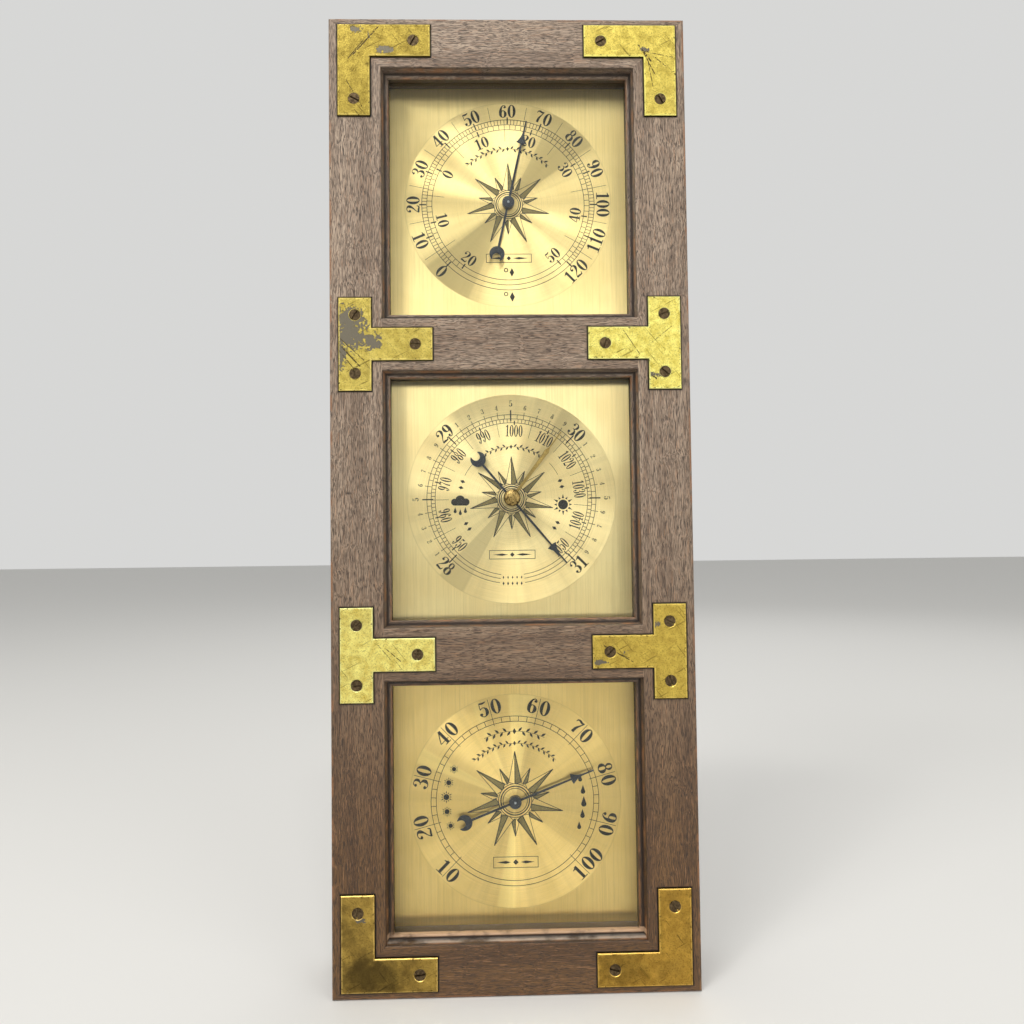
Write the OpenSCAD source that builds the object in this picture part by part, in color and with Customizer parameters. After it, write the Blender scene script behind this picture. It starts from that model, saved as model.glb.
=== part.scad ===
// Wall-hung weather station: a thermometer, an aneroid barometer and a humidity meter
// behind glass, one above another in a wooden frame with brass corner and tee plates.
// X is to the right of someone facing it, +Y is into the wall and +Z is up. The wall is at
// y = 0, and the origin is the centre of the keyhole that hangs on the wall screw.

/* [Frame] */
// Side of each square window, at the front of its moulding
window = 126; // [124:1:160]
// Width of each upright stile
stile_w = 26; // [24:1:40]
// Height of the top and bottom rails
end_rail_h = 25; // [24:1:40]
// Height of the two middle rails
mid_rail_h = 26; // [24:1:40]
// Depth of the frame, from its front face to the wall
frame_d = 42; // [42:1:60]
// Radius of the worn outer front edges
outer_edge_r = 1.2; // [0.2:0.1:3]

/* [Moulding] */
// How far the lip stands in from the window's front edge, on each side
lip_inset = 3; // [2:0.1:5]
// Depth of the moulding's ledge below the front face
ledge_d = 4.4; // [3:0.1:6]
// How far the wall above the ledge slopes in
wall_slope = 1; // [0:0.1:1.5]
// Depth of the glass below the front face
glass_d = 8; // [7:0.5:12]
// How far the rebate behind the lip is wider than the window, on each side
rebate_step = 2; // [1:0.1:3]

/* [Glass and dials] */
// Thickness of each glass
glass_t = 2; // [1.5:0.1:2.5]
// Space between a glass and its dial
dial_gap = 5; // [4.6:0.1:5.6]
// Thickness of each dial plate
dial_t = 0.8; // [0.5:0.1:1.2]
// Width of the spacer strips between glass and dial
spacer_w = 4; // [3:0.1:4.5]

/* [Brass plates] */
// Length of a corner plate's arms, and of a tee plate both ways
plate_len = 46; // [40:1:56]
// Width of a plate's arms
plate_w = 16; // [12:0.5:18]
// Thickness of a plate
plate_t = 2; // [1.9:0.1:3]
// Depth of the recess that a plate lies in
pocket_d = 1; // [0.5:0.1:2]
// Distance from a plate to the window's edge
plate_margin = 5.4; // [3:0.1:6]
// Distance from a plate's end to its screw
screw_end = 8.5; // [6:0.1:12]
// Diameter of the plate screws' heads
screw_head = 5.6; // [4:0.1:7]
// Length of the plate screws
screw_len = 14; // [10:0.5:16]

/* [Hands] */
// Length of the thermometer's hand
thermometer_tip = 43.7; // [30:0.1:50]
// Length of the barometer's hand
barometer_tip = 43; // [30:0.1:50]
// Length of the humidity meter's hand
humidity_tip = 42.3; // [30:0.1:50]
// Length of the brass set hand
set_tip = 42; // [30:0.1:50]
// Diameter of the set knob
knob_dia = 8.4; // [6:0.1:14]
// Thermometer reading, degrees on its 0 to 120 scale
thermometer_reads = 65.7; // [0:0.1:120]
// Humidity reading, per cent on its 10 to 100 scale
humidity_reads = 78; // [10:0.1:100]

/* [Movements] */
// Outer radius of the two sensing coils
coil_r = 10.8; // [8:0.1:11.4]
// Turns of the thermometer's bimetal coil
bimetal_turns = 4; // [3:1:6]
// Turns of the humidity meter's coil
humidity_turns = 6; // [4:1:8]
// Radius of the barometer's pressure capsule
capsule_r = 20; // [14:0.5:21]
// Module of the barometer's gear teeth
gear_module = 0.5; // [0.4:0.05:0.52]
// Teeth of the pinion on the barometer's arbor
pinion_teeth = 16; // [16:1:18]
// Teeth that the sector would have as a full wheel, per pinion tooth
gear_ratio = 8; // [7:1:8]

/* [Back] */
// Thickness of the back panel
panel_t = 3; // [2:0.1:4]
// Radius of the round part of the keyhole
keyhole_r = 4; // [3.5:0.1:5]
// Radius of the keyhole's slot
keyhole_slot_r = 2; // [1.5:0.1:2.5]
// Thickness of the hanger plate
hanger_t = 1.2; // [0.8:0.1:2]

/* [Hidden] */
$fn = 64;
// Clearance round a seated piece, and radial clearance of a turning shaft
seat = 0.3;
run = 0.05;
// Clearance of a plate in its recess
pocket_gap = 0.5;
// How far a cut runs past the surface that it opens
over = 1;

half = window / 2;
rebate = half + rebate_step;
frame_w = window + 2 * stile_w;
pitch = window + mid_rail_h;
frame_h = 2 * end_rail_h + 3 * window + 2 * mid_rail_h;
// Height of the frame's top edge above the keyhole
top_z = 12;
bottom_z = top_z - frame_h;
// Centres of the windows and of the middle rails, from the top
win_z = [for (i = [0:2]) top_z - end_rail_h - half - i * pitch];
mid_z = [for (i = [0:1]) win_z[i] - pitch / 2];

// Depths of the layers behind the glass
glass_back = glass_d + glass_t;
dial_d = glass_back + dial_gap;
dial_back = dial_d + dial_t;
front_edge_r = 0.8;
bead_r = 0.9;

// Recess that the back panel sits in, and how far the panel laps over the wood
panel_recess = 5.5;
panel_d = frame_d - panel_recess;
panel_lap_x = 7;
panel_lap_z = 3;
panel_half_x = rebate + panel_lap_x;
panel_top = win_z[0] + rebate + panel_lap_z;
panel_bottom = win_z[2] - rebate - panel_lap_z;

// Helpers: depths are measured back from the frame's front face

// A flat shape drawn in X and Z, from depth d and t thick
module slab(d, t) {
    translate([0, d + t - frame_d, 0]) rotate([90, 0, 0]) linear_extrude(t) children();
}

// A rod along Y from depth d0 to depth d1, round the point p = [x, z]
module rod(p, d0, d1, r, r_back = undef) {
    translate([p[0], d0 - frame_d, p[1]]) rotate([-90, 0, 0])
        cylinder(h = d1 - d0, r1 = r, r2 = is_undef(r_back) ? r : r_back);
}

// A profile of [radius, depth] points turned round the Y axis through p = [x, z]
module turned(p) {
    translate([p[0], -frame_d, p[1]]) rotate([-90, 0, 0]) rotate_extrude() children();
}

// A box between two corners given as [x, depth, z]
module box(low, high) {
    translate([low[0], low[1] - frame_d, low[2]]) cube(high - low);
}

function arc(centre, r, from, to, steps = 8) =
    [for (i = [0:steps]) let (a = from + (to - from) * i / steps) centre + r * [cos(a), sin(a)]];

function polar(r, a) = r * [cos(a), sin(a)];

// Wooden frame

// Section of a window's moulding: how wide the window is cut at each depth
module moulding_section() {
    side = concat(
        [[half + front_edge_r, -over]],
        arc([half + front_edge_r, front_edge_r], front_edge_r, -90, -180),
        [[half - wall_slope, ledge_d]],
        arc([half - lip_inset + bead_r, ledge_d + bead_r], bead_r, -90, -180),
        [[half - lip_inset, glass_d + over]]);
    mirrored = [for (i = [len(side) - 1:-1:0]) [-side[i][0], side[i][1]]];
    polygon(concat(side, mirrored));
}

// The moulding runs round all four sides and meets in mitres
module window_cut(z) {
    translate([0, -frame_d, z]) intersection() {
        translate([0, 0, -window]) linear_extrude(2 * window) moulding_section();
        rotate([0, 90, 0]) translate([0, 0, -window]) linear_extrude(2 * window) moulding_section();
    }
    box([-rebate, glass_d, z - rebate], [rebate, frame_d + over, z + rebate]);
}

// Outer edges rounded off at the front, and the four outer corners
module edge_section(r) {
    polygon(concat([[-over, -over], [r, -over]], arc([r, r], r, -90, -180), [[-over, r]]));
}

module outer_rounding() {
    mid = (top_z + bottom_z) / 2;
    for (side = [0:3]) {
        long = side % 2 == 0 ? frame_h : frame_w;
        reach = side % 2 == 0 ? frame_w / 2 : frame_h / 2;
        translate([0, 0, mid]) rotate([0, 90 * side, 0])
            translate([-reach, -frame_d, -long / 2 - over])
                linear_extrude(long + 2 * over) edge_section(outer_edge_r);
    }
}

// Corner plates: sx and sz are the signs of the corner's X and Z
function corner_edge_z(sz) = sz > 0 ? win_z[0] + half : win_z[2] - half;
function corner_origin(sx, sz) =
    [sx * (half + plate_margin + plate_w), corner_edge_z(sz) + sz * (plate_margin + plate_w)];
function corner_screws(sx, sz) = let (o = corner_origin(sx, sz), far = plate_len - screw_end)
    [o - [sx * far, sz * plate_w / 2], o - [sx * plate_w / 2, sz * far]];
function tee_origin(sx, i) = [sx * (half + plate_margin + plate_w), mid_z[i]];
function tee_screws(sx, i) = let (o = tee_origin(sx, i), far = plate_len - screw_end)
    [o + [-sx * plate_w / 2, plate_len / 2 - screw_end],
     o - [sx * far, 0],
     o + [-sx * plate_w / 2, screw_end - plate_len / 2]];

CORNERS = [[-1, 1], [1, 1], [-1, -1], [1, -1]];
TEES = [[-1, 0], [1, 0], [-1, 1], [1, 1]];
plate_screw_places = concat(
    [for (c = CORNERS) each corner_screws(c[0], c[1])],
    [for (t = TEES) each tee_screws(t[0], t[1])]);

// Outlines of the plates for the upper right corner and the right side, clockwise from the
// outer corner, and grown by the gap g. The other plates are these mirrored.
function corner_points(g = 0) =
    [[g, g], [g, -plate_len - g], [-plate_w - g, -plate_len - g], [-plate_w - g, -plate_w - g],
     [-plate_len - g, -plate_w - g], [-plate_len - g, g]];
function tee_points(g = 0) = let (long = plate_len / 2 + g, wide = plate_w / 2 + g)
    [[g, long], [g, -long], [-plate_w - g, -long], [-plate_w - g, -wide],
     [-plate_len - g, -wide], [-plate_len - g, wide], [-plate_w - g, wide], [-plate_w - g, long]];
// Numbers of the points that are inner corners
corner_inner = [3];
tee_inner = [3, 6];

module plate_pockets() {
    for (c = CORNERS) slab(-over, pocket_d + over)
        translate(corner_origin(c[0], c[1])) scale(c) polygon(corner_points(pocket_gap));
    for (t = TEES) slab(-over, pocket_d + over)
        translate(tee_origin(t[0], t[1])) scale([t[0], 1]) polygon(tee_points(pocket_gap));
}

// Plate screws: countersunk, slotted, their heads a little smaller than the countersink
plate_front = pocket_d - plate_t;
screw_core_r = 1.4;
sink_r = screw_head / 2 + 0.35;
sink_gap = 0.05;
shank_gap = 0.3;
head_top = plate_front + (sink_r - screw_head / 2) - sink_gap;
head_h = screw_head / 2 - screw_core_r;
screw_slot_w = 0.9;
screw_slot_d = 0.8;
// Room in front of a screw's tip
tip_room = 1.5;

module pilot_holes() {
    for (p = plate_screw_places)
        rod(p, 0, plate_front + screw_len + tip_room, screw_core_r + run);
}

// Slot angles as the screws stand, in degrees from upright
slot_turns = [28, 118, 62, 150, 84, 12, 104, 140, 35, 95, 160, 70, 20, 130, 50, 8, 88, 122, 44, 164];

module plate_screws() {
    color([0.16, 0.13, 0.10])
    for (i = [0:len(plate_screw_places) - 1]) difference() {
        union() {
            rod(plate_screw_places[i], head_top, head_top + head_h, screw_head / 2, screw_core_r);
            rod(plate_screw_places[i], head_top + head_h, plate_front + screw_len, screw_core_r);
        }
        translate([plate_screw_places[i][0], 0, plate_screw_places[i][1]])
            rotate([0, slot_turns[i], 0])
                box([-screw_slot_w / 2, head_top - over, -screw_head],
                    [screw_slot_w / 2, head_top + screw_slot_d, screw_head]);
    }
}

// Dowels: a pair across each mitred corner and a pair at each end of the middle rails
dowel_r = 3;
dowel_len = 18;
dowel_depths = [20, 30];

module dowel_at(x, z, tilt, extra) {
    for (d = dowel_depths)
        translate([x, d - frame_d, z]) rotate([0, tilt, 0])
            cylinder(h = dowel_len + 2 * extra, r = dowel_r + extra, center = true);
}

module dowels(extra = 0) {
    mitre = atan2(end_rail_h, stile_w);
    for (c = CORNERS)
        dowel_at(c[0] * (frame_w - stile_w) / 2, corner_edge_z(c[1]) + c[1] * end_rail_h / 2,
            -c[0] * c[1] * mitre, extra);
    for (t = TEES) dowel_at(t[0] * half, mid_z[t[1]], 90, extra);
}

module frame_dowels() {
    color([0.78, 0.62, 0.42]) dowels();
}

// The recess for the back panel, and the pilot holes of its screws
panel_screw_x = 45;
panel_screw_places = concat(
    [for (z = win_z) for (s = [-1, 1]) [s * (rebate + panel_lap_x / 2), z]],
    [for (z = mid_z) for (s = [-1, 1]) [s * panel_screw_x, z]]);
panel_screw_core_r = 1.3;
panel_screw_len = 10;

module panel_cut() {
    box([-panel_half_x - seat, panel_d, panel_bottom - seat],
        [panel_half_x + seat, frame_d + over, panel_top + seat]);
    for (p = panel_screw_places)
        rod(p, panel_d - panel_screw_len, frame_d, panel_screw_core_r + run);
}

// Keyhole hanger: a plate let into the back of the top rail, over a pocket for the screw head
hanger_half_x = 22;
hanger_low = -6.5;
hanger_high = 9.5;
hanger_screw_x = 16;
hanger_screw_z = 1.5;
keyhole_rise = 4.5;
hanger_screw_r = 1.4;
hanger_head_r = 2.6;
hanger_screw_len = 12;
// Pocket behind the keyhole for the head of the wall screw
hanger_pocket_d = 8;
hanger_pocket_side = 2;

module hanger_cut() {
    box([-hanger_half_x - seat, frame_d - hanger_t, hanger_low - seat],
        [hanger_half_x + seat, frame_d + over, hanger_high + seat]);
    box([-keyhole_r - hanger_pocket_side, frame_d - hanger_t - hanger_pocket_d, -keyhole_r - over],
        [keyhole_r + hanger_pocket_side, frame_d, keyhole_rise + keyhole_r]);
    for (s = [-1, 1])
        rod([s * hanger_screw_x, hanger_screw_z], frame_d - hanger_screw_len - over, frame_d,
            hanger_screw_r + run);
}

// Clips that hold a dial against its spacers: one in the middle of each side of each rebate
clip_w = 10;
clip_t = 0.8;
clip_leg = 6;
clip_len = 8;
prong_len = 3;
prong_w = 3;
prong_d = dial_back + 5;

module prong(extra = 0) {
    box([rebate - over, prong_d - extra, -prong_w / 2 - extra],
        [rebate + prong_len + extra, prong_d + clip_t + extra, prong_w / 2 + extra]);
}

module each_clip() {
    for (z = win_z) for (side = [0:3])
        translate([0, 0, z]) rotate([0, 90 * side, 0]) children();
}

module dial_clips() {
    color([0.62, 0.60, 0.55]) each_clip() {
        box([rebate - clip_t, dial_back, -clip_w / 2],
            [rebate, dial_back + clip_len, clip_w / 2]);
        box([rebate - clip_leg, dial_back, -clip_w / 2],
            [rebate, dial_back + clip_t, clip_w / 2]);
        prong();
    }
}

// One member of the frame, from its outline in X and Z
module member(outline) {
    color([0.42, 0.31, 0.25]) difference() {
        slab(0, frame_d) polygon(outline);
        for (z = win_z) window_cut(z);
        outer_rounding();
        plate_pockets();
        pilot_holes();
        dowels(run);
        panel_cut();
        hanger_cut();
        each_clip() prong(run);
    }
}

// The outline reaches past the lip, and the window cuts shape it: the members meet in mitres
reach = lip_inset + 1;

function stile_inner(i) = let (top = win_z[i] + half, low = win_z[i] - half)
    [[-half, top], [-half + reach, top - reach], [-half + reach, low + reach], [-half, low]];

module left_stile() {
    member(concat([[-frame_w / 2, bottom_z], [-frame_w / 2, top_z]],
        [for (i = [0:2]) each stile_inner(i)]));
}

module right_stile() {
    member([for (p = concat([[-frame_w / 2, bottom_z], [-frame_w / 2, top_z]],
        [for (i = [0:2]) each stile_inner(i)])) [-p[0], p[1]]]);
}

// Outline of an end rail: sz is 1 at the top and -1 at the bottom
module end_rail(sz) {
    edge = corner_edge_z(sz);
    outer = edge + sz * end_rail_h;
    member([[-frame_w / 2, outer], [frame_w / 2, outer], [half, edge],
        [half - reach, edge - sz * reach], [reach - half, edge - sz * reach], [-half, edge]]);
}

module middle_rail(i) {
    top = mid_z[i] + mid_rail_h / 2;
    low = mid_z[i] - mid_rail_h / 2;
    member([[-half, top], [reach - half, top + reach], [half - reach, top + reach], [half, top],
        [half, low], [half - reach, low - reach], [reach - half, low - reach], [-half, low]]);
}

module top_rail() end_rail(1);
module bottom_rail() end_rail(-1);
module upper_middle_rail() middle_rail(0);
module lower_middle_rail() middle_rail(1);

// Brass corner and tee plates

// Chamfers along a plate's front edges: wedges that stop at the inner corners
chamfer = 0.35;

module edge_chamfers(points, inner) {
    n = len(points);
    for (i = [0:n - 1]) {
        a = points[i];
        b = points[(i + 1) % n];
        run_out = [len(search(i, inner)) > 0 ? 0 : over, len(search((i + 1) % n, inner)) > 0 ? 0 : over];
        translate([a[0], plate_front - frame_d, a[1]])
            rotate([0, atan2(b[0] - a[0], b[1] - a[1]), 0]) translate([0, 0, -run_out[0]])
                linear_extrude(norm(b - a) + run_out[0] + run_out[1])
                    polygon([[-over, -over], [chamfer + over, -over], [-over, chamfer + over]]);
    }
}

module plate_body(origin, flip, points, inner, screws) {
    color([0.72, 0.58, 0.25]) difference() {
        translate([origin[0], 0, origin[1]]) scale([flip[0], 1, flip[1]]) difference() {
            slab(plate_front, plate_t) polygon(points);
            edge_chamfers(points, inner);
        }
        for (p = screws) {
            rod(p, plate_front, plate_front + sink_r - screw_core_r, sink_r, screw_core_r);
            rod(p, plate_front - over, pocket_d + over, screw_core_r + shank_gap);
        }
    }
}

module corner_plate(sx, sz)
    plate_body(corner_origin(sx, sz), [sx, sz], corner_points(), corner_inner, corner_screws(sx, sz));
module tee_plate(sx, i)
    plate_body(tee_origin(sx, i), [sx, 1], tee_points(), tee_inner, tee_screws(sx, i));

module top_left_corner_plate() corner_plate(-1, 1);
module top_right_corner_plate() corner_plate(1, 1);
module bottom_left_corner_plate() corner_plate(-1, -1);
module bottom_right_corner_plate() corner_plate(1, -1);
module upper_left_tee_plate() tee_plate(-1, 0);
module upper_right_tee_plate() tee_plate(1, 0);
module lower_left_tee_plate() tee_plate(-1, 1);
module lower_right_tee_plate() tee_plate(1, 1);

// Back of the case

module keyhole() {
    circle(keyhole_r);
    translate([-keyhole_slot_r, 0]) square([2 * keyhole_slot_r, keyhole_rise]);
    translate([0, keyhole_rise]) circle(keyhole_slot_r);
}

module hanger_plate() {
    color([0.60, 0.60, 0.60]) difference() {
        slab(frame_d - hanger_t, hanger_t) difference() {
            translate([-hanger_half_x, hanger_low])
                square([2 * hanger_half_x, hanger_high - hanger_low]);
            keyhole();
        }
        for (s = [-1, 1]) {
            place = [s * hanger_screw_x, hanger_screw_z];
            rod(place, frame_d - (hanger_head_r - hanger_screw_r), frame_d,
                hanger_screw_r, hanger_head_r);
            rod(place, frame_d - hanger_t - over, frame_d, hanger_screw_r + 2 * run);
        }
    }
}

// Slots of the screws on the back
back_slot_w = 0.8;
back_slot_d = 0.7;

// A wood screw driven from the back: its head's rear face is at depth d
module back_screw(p, d, head_r, core_r, len, angle) {
    difference() {
        union() {
            rod(p, d - (head_r - core_r), d, core_r, head_r);
            rod(p, d - len, d - (head_r - core_r), core_r);
        }
        translate([p[0], 0, p[1]]) rotate([0, angle, 0])
            box([-back_slot_w / 2, d - back_slot_d, -head_r - over],
                [back_slot_w / 2, d + over, head_r + over]);
    }
}

module hanger_screws() {
    color([0.55, 0.55, 0.55])
    for (s = [-1, 1])
        back_screw([s * hanger_screw_x, hanger_screw_z], frame_d - 2 * run,
            hanger_head_r - 3 * run, hanger_screw_r, hanger_screw_len, 40 + 30 * s);
}

// Vent slots behind the thermometer and the humidity meter, and a hole for a screwdriver
// behind the barometer's adjusting screw
vent_w = 4;
vent_len = 36;
vent_pitch = 12;
adjust_hole_r = 4.5;

module back_panel() {
    color([0.45, 0.33, 0.22]) difference() {
        box([-panel_half_x, panel_d, panel_bottom], [panel_half_x, panel_d + panel_t, panel_top]);
        for (i = [0, 2]) for (k = [-2:2])
            box([k * vent_pitch - vent_w / 2, panel_d - over, win_z[i] - vent_len / 2],
                [k * vent_pitch + vent_w / 2, panel_d + panel_t + over, win_z[i] + vent_len / 2]);
        rod(capsule_place, panel_d - over, panel_d + panel_t + over, adjust_hole_r);
        for (p = panel_screw_places)
            rod(p, panel_d - over, panel_d + panel_t + over, panel_screw_core_r + shank_gap);
    }
}

panel_head_r = 2.8;
panel_head_h = 1.6;
panel_head_slope = 0.8;

module back_panel_screws() {
    // The slots stand at any angle
    color([0.70, 0.58, 0.30])
    for (i = [0:len(panel_screw_places) - 1]) difference() {
        union() {
            rod(panel_screw_places[i], panel_d + panel_t, panel_d + panel_t + panel_head_h,
                panel_head_r, panel_head_r - panel_head_slope);
            rod(panel_screw_places[i], panel_d + panel_t - panel_screw_len,
                panel_d + panel_t, panel_screw_core_r);
        }
        translate([panel_screw_places[i][0], 0, panel_screw_places[i][1]])
            rotate([0, 25 + 50 * i, 0])
                box([-back_slot_w / 2, panel_d + panel_t + panel_head_h - back_slot_d,
                        -panel_head_r - over],
                    [back_slot_w / 2, panel_d + panel_t + panel_head_h + over, panel_head_r + over]);
    }
}

// Glass, spacers and dials

// A square sheet that drops into the rebate, with a hole of radius r in its centre
module sheet_at(i, d, t, r) {
    difference() {
        box([seat - rebate, d, win_z[i] + seat - rebate],
            [rebate - seat, d + t, win_z[i] + rebate - seat]);
        if (r > 0) rod([0, win_z[i]], d - over, d + t + over, r);
    }
}

set_bush_r = 2.5;
dial_hole_r = 2;
barometer_dial_hole_r = 2.5;

module thermometer_glass() color([0.85, 0.92, 0.92, 0.3]) sheet_at(0, glass_d, glass_t, 0);
module barometer_glass()
    color([0.85, 0.92, 0.92, 0.3]) sheet_at(1, glass_d, glass_t, set_bush_r + run);
module humidity_glass() color([0.85, 0.92, 0.92, 0.3]) sheet_at(2, glass_d, glass_t, 0);

// Four plain strips in each rebate keep the dial off the glass
module glass_spacers() {
    outer = rebate - seat;
    color([0.16, 0.13, 0.11])
    for (z = win_z) for (s = [-1, 1]) {
        box([min(s * outer, s * (outer - spacer_w)), glass_back, z - outer],
            [max(s * outer, s * (outer - spacer_w)), dial_d, z + outer]);
        box([-outer + spacer_w, glass_back, z + min(s * outer, s * (outer - spacer_w))],
            [outer - spacer_w, dial_d, z + max(s * outer, s * (outer - spacer_w))]);
    }
}

module thermometer_dial() color([0.83, 0.72, 0.42]) sheet_at(0, dial_d, dial_t, dial_hole_r + run);
module barometer_dial()
    color([0.83, 0.72, 0.42]) sheet_at(1, dial_d, dial_t, barometer_dial_hole_r);
module humidity_dial() color([0.80, 0.66, 0.36]) sheet_at(2, dial_d, dial_t, dial_hole_r + run);

// Hands: drawn pointing up, then turned to their reading

hand_t = 0.4;
hand_hub_r = 3.1;
hub_back = dial_d - 0.8;
hub_front = glass_back + 1.6;
hub_lip = 0.3;
hand_d = glass_back + 2.5;
scale_sweep = 270;
scale_start = -135;

// Arrow whose sides flare in a curve from a needle to the barbs, and a horseshoe at the tail
needle_half = 0.38;
needle_len = 5.5;
arrow_len = 11.8;
barb_half = 2.7;
neck_half = 0.4;
neck_drop = 0.4;
shaft_half = 0.55;
shoe_r = 3.9;
shoe_bite_r = 2.05;
shoe_bite = 1.75;

module arrow_hand(tip, tail) {
    flare = [for (i = [0:6]) let (f = i / 6)
        [needle_half + (barb_half - needle_half) * f * f, tip - needle_len - (arrow_len - needle_len) * f]];
    side = concat([[needle_half, tip]], flare,
        [[neck_half, tip - arrow_len - neck_drop], [shaft_half, tip / 2], [shaft_half, shoe_bite - tail]]);
    polygon(concat(side, [for (i = [len(side) - 1:-1:0]) [-side[i][0], side[i][1]]]));
    difference() {
        translate([0, -tail]) circle(shoe_r);
        translate([0, -tail - shoe_bite]) circle(shoe_bite_r);
        translate([-shoe_bite_r, -tail - 2 * shoe_r]) square([2 * shoe_bite_r, 2 * shoe_r - shoe_bite]);
    }
}

// A hand pressed on an arbor of radius r: front is the depth of the hub's front face
module hand_at(z, angle, front, r, tip, tail) {
    translate([0, 0, z]) rotate([0, angle, 0]) difference() {
        union() {
            slab(max(front + hub_lip, hand_d), hand_t) arrow_hand(tip, tail);
            rod([0, 0], front, hub_back, hand_hub_r);
        }
        rod([0, 0], front - over, hub_back + over, r);
    }
}

arbor_r = 0.6;
press = 0.02;
tail_len = 27.2;
thermometer_turn = scale_start + thermometer_reads / 120 * scale_sweep;
humidity_turn = scale_start + (humidity_reads - 10) / 90 * scale_sweep;

module thermometer_hand() {
    color([0.15, 0.17, 0.22])
        hand_at(win_z[0], thermometer_turn, hub_front, arbor_r + press, thermometer_tip, tail_len);
}

module humidity_hand() {
    color([0.12, 0.12, 0.12])
        hand_at(win_z[2], humidity_turn, hub_front, arbor_r + press, humidity_tip, tail_len);
}

// Coil movements of the thermometer and the humidity meter

bush_r = dial_hole_r;
bracket_t = 1.1;
bracket_w = 14;
bracket_front = dial_back;
bracket_rear = dial_back + 15.2;
bracket_rise = 17;
nut_r = 4;
nut_t = 2;
flange_t = 0.4;
flange_lip = 0.7;
coil_d = bracket_front + bracket_t + nut_t + 1.3;
coil_w = 7;
collet_r = 2;
bimetal_t = 0.5;
humidity_strip_t = 0.3;
boss_r = 3;
boss_lip = 1;
boss_lip_t = 0.6;
adjuster_t = 1.2;
boss_h = adjuster_t + 2 * run;
adjuster_d = bracket_rear - boss_h + run;
adjuster_ring = 2.5;
adjuster_w = 4;
adjuster_len = 20;
adjuster_tab_r = 3;
post_r = 1;
post_at = coil_r + post_r + 2 * run;
// How far an arbor's ends stand out of what holds them
arbor_nose = 0.3;
arbor_tail = 1;

module arbor_at(z) {
    rod([0, z], hub_front - arbor_nose, bracket_rear + bracket_t + arbor_tail, arbor_r);
    rod([0, z], coil_d, coil_d + coil_w, collet_r);
}

module bush_at(z) {
    difference() {
        union() {
            rod([0, z], dial_d, bracket_front + bracket_t + nut_t, bush_r);
            rod([0, z], dial_d - flange_t, dial_d, bush_r + flange_lip);
        }
        rod([0, z], dial_d - over, bracket_front + bracket_t + nut_t + over, arbor_r + run);
    }
}

module nut_at(z) {
    slab(bracket_front + bracket_t, nut_t) translate([0, z]) difference() {
        circle(nut_r, $fn = 6);
        circle(bush_r + run);
    }
}

// A C-shaped bracket: its front leg is clamped on the bush, its rear leg carries the arbor
module bracket_at(z) {
    low = -bracket_w / 2;
    difference() {
        union() {
            for (d = [bracket_front, bracket_rear])
                box([-bracket_w / 2, d, z + low], [bracket_w / 2, d + bracket_t, z + bracket_rise]);
            box([-bracket_w / 2, bracket_front, z + bracket_rise - bracket_t],
                [bracket_w / 2, bracket_rear + bracket_t, z + bracket_rise]);
            rod([0, z], bracket_rear - boss_h, bracket_rear, boss_r);
            rod([0, z], bracket_rear - boss_h - boss_lip_t, bracket_rear - boss_h, boss_r + boss_lip);
        }
        rod([0, z], bracket_front - over, bracket_front + bracket_t + over, bush_r + run);
        rod([0, z], bracket_rear - boss_h - over, bracket_rear + bracket_t + over, arbor_r + run);
    }
}

// A spiral strip from radius r0 to r1, ending at the angle end
function spiral_r(r0, r1, f) = r0 + (r1 - r0) * f;
function spiral(r0, r1, turns, end, shift) = let (steps = turns * 24)
    [for (i = [0:steps]) polar(spiral_r(r0, r1, i / steps) + shift, end - (1 - i / steps) * turns * 360)];

module spiral_strip(r0, r1, turns, t, end) {
    inner = spiral(r0, r1, turns, end, -t / 2);
    outer = spiral(r0, r1, turns, end, t / 2);
    polygon(concat(outer, [for (i = [len(inner) - 1:-1:0]) inner[i]]));
}

module coil_at(z, turns, t) {
    slab(coil_d, coil_w) translate([0, z])
        spiral_strip(collet_r + t / 2 + run, coil_r - t / 2, turns, t, 90);
}

// The adjuster turns stiffly on the bracket's boss and holds the coil's outer end on its post
module adjuster_at(z) {
    translate([0, 0, z]) {
        slab(adjuster_d, adjuster_t) difference() {
            union() {
                circle(boss_r + adjuster_ring);
                translate([-adjuster_w / 2, -adjuster_len])
                    square([adjuster_w, adjuster_len + post_at + 1.5 * post_r]);
                translate([0, -adjuster_len]) circle(adjuster_tab_r);
            }
            circle(boss_r + run);
        }
        rod([0, post_at], coil_d, adjuster_d, post_r);
    }
}

module thermometer_arbor() color([0.75, 0.75, 0.72]) arbor_at(win_z[0]);
module thermometer_bush() color([0.75, 0.62, 0.30]) bush_at(win_z[0]);
module thermometer_nut() color([0.75, 0.62, 0.30]) nut_at(win_z[0]);
module thermometer_bracket() color([0.65, 0.65, 0.62]) bracket_at(win_z[0]);
module thermometer_coil() color([0.70, 0.62, 0.50]) coil_at(win_z[0], bimetal_turns, bimetal_t);
module thermometer_adjuster() color([0.72, 0.60, 0.30]) adjuster_at(win_z[0]);
module humidity_arbor() color([0.75, 0.75, 0.72]) arbor_at(win_z[2]);
module humidity_bush() color([0.75, 0.62, 0.30]) bush_at(win_z[2]);
module humidity_nut() color([0.75, 0.62, 0.30]) nut_at(win_z[2]);
module humidity_bracket() color([0.65, 0.65, 0.62]) bracket_at(win_z[2]);
module humidity_coil() color([0.80, 0.74, 0.60]) coil_at(win_z[2], humidity_turns, humidity_strip_t);
module humidity_adjuster() color([0.72, 0.60, 0.30]) adjuster_at(win_z[2]);

// Aneroid barometer

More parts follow.
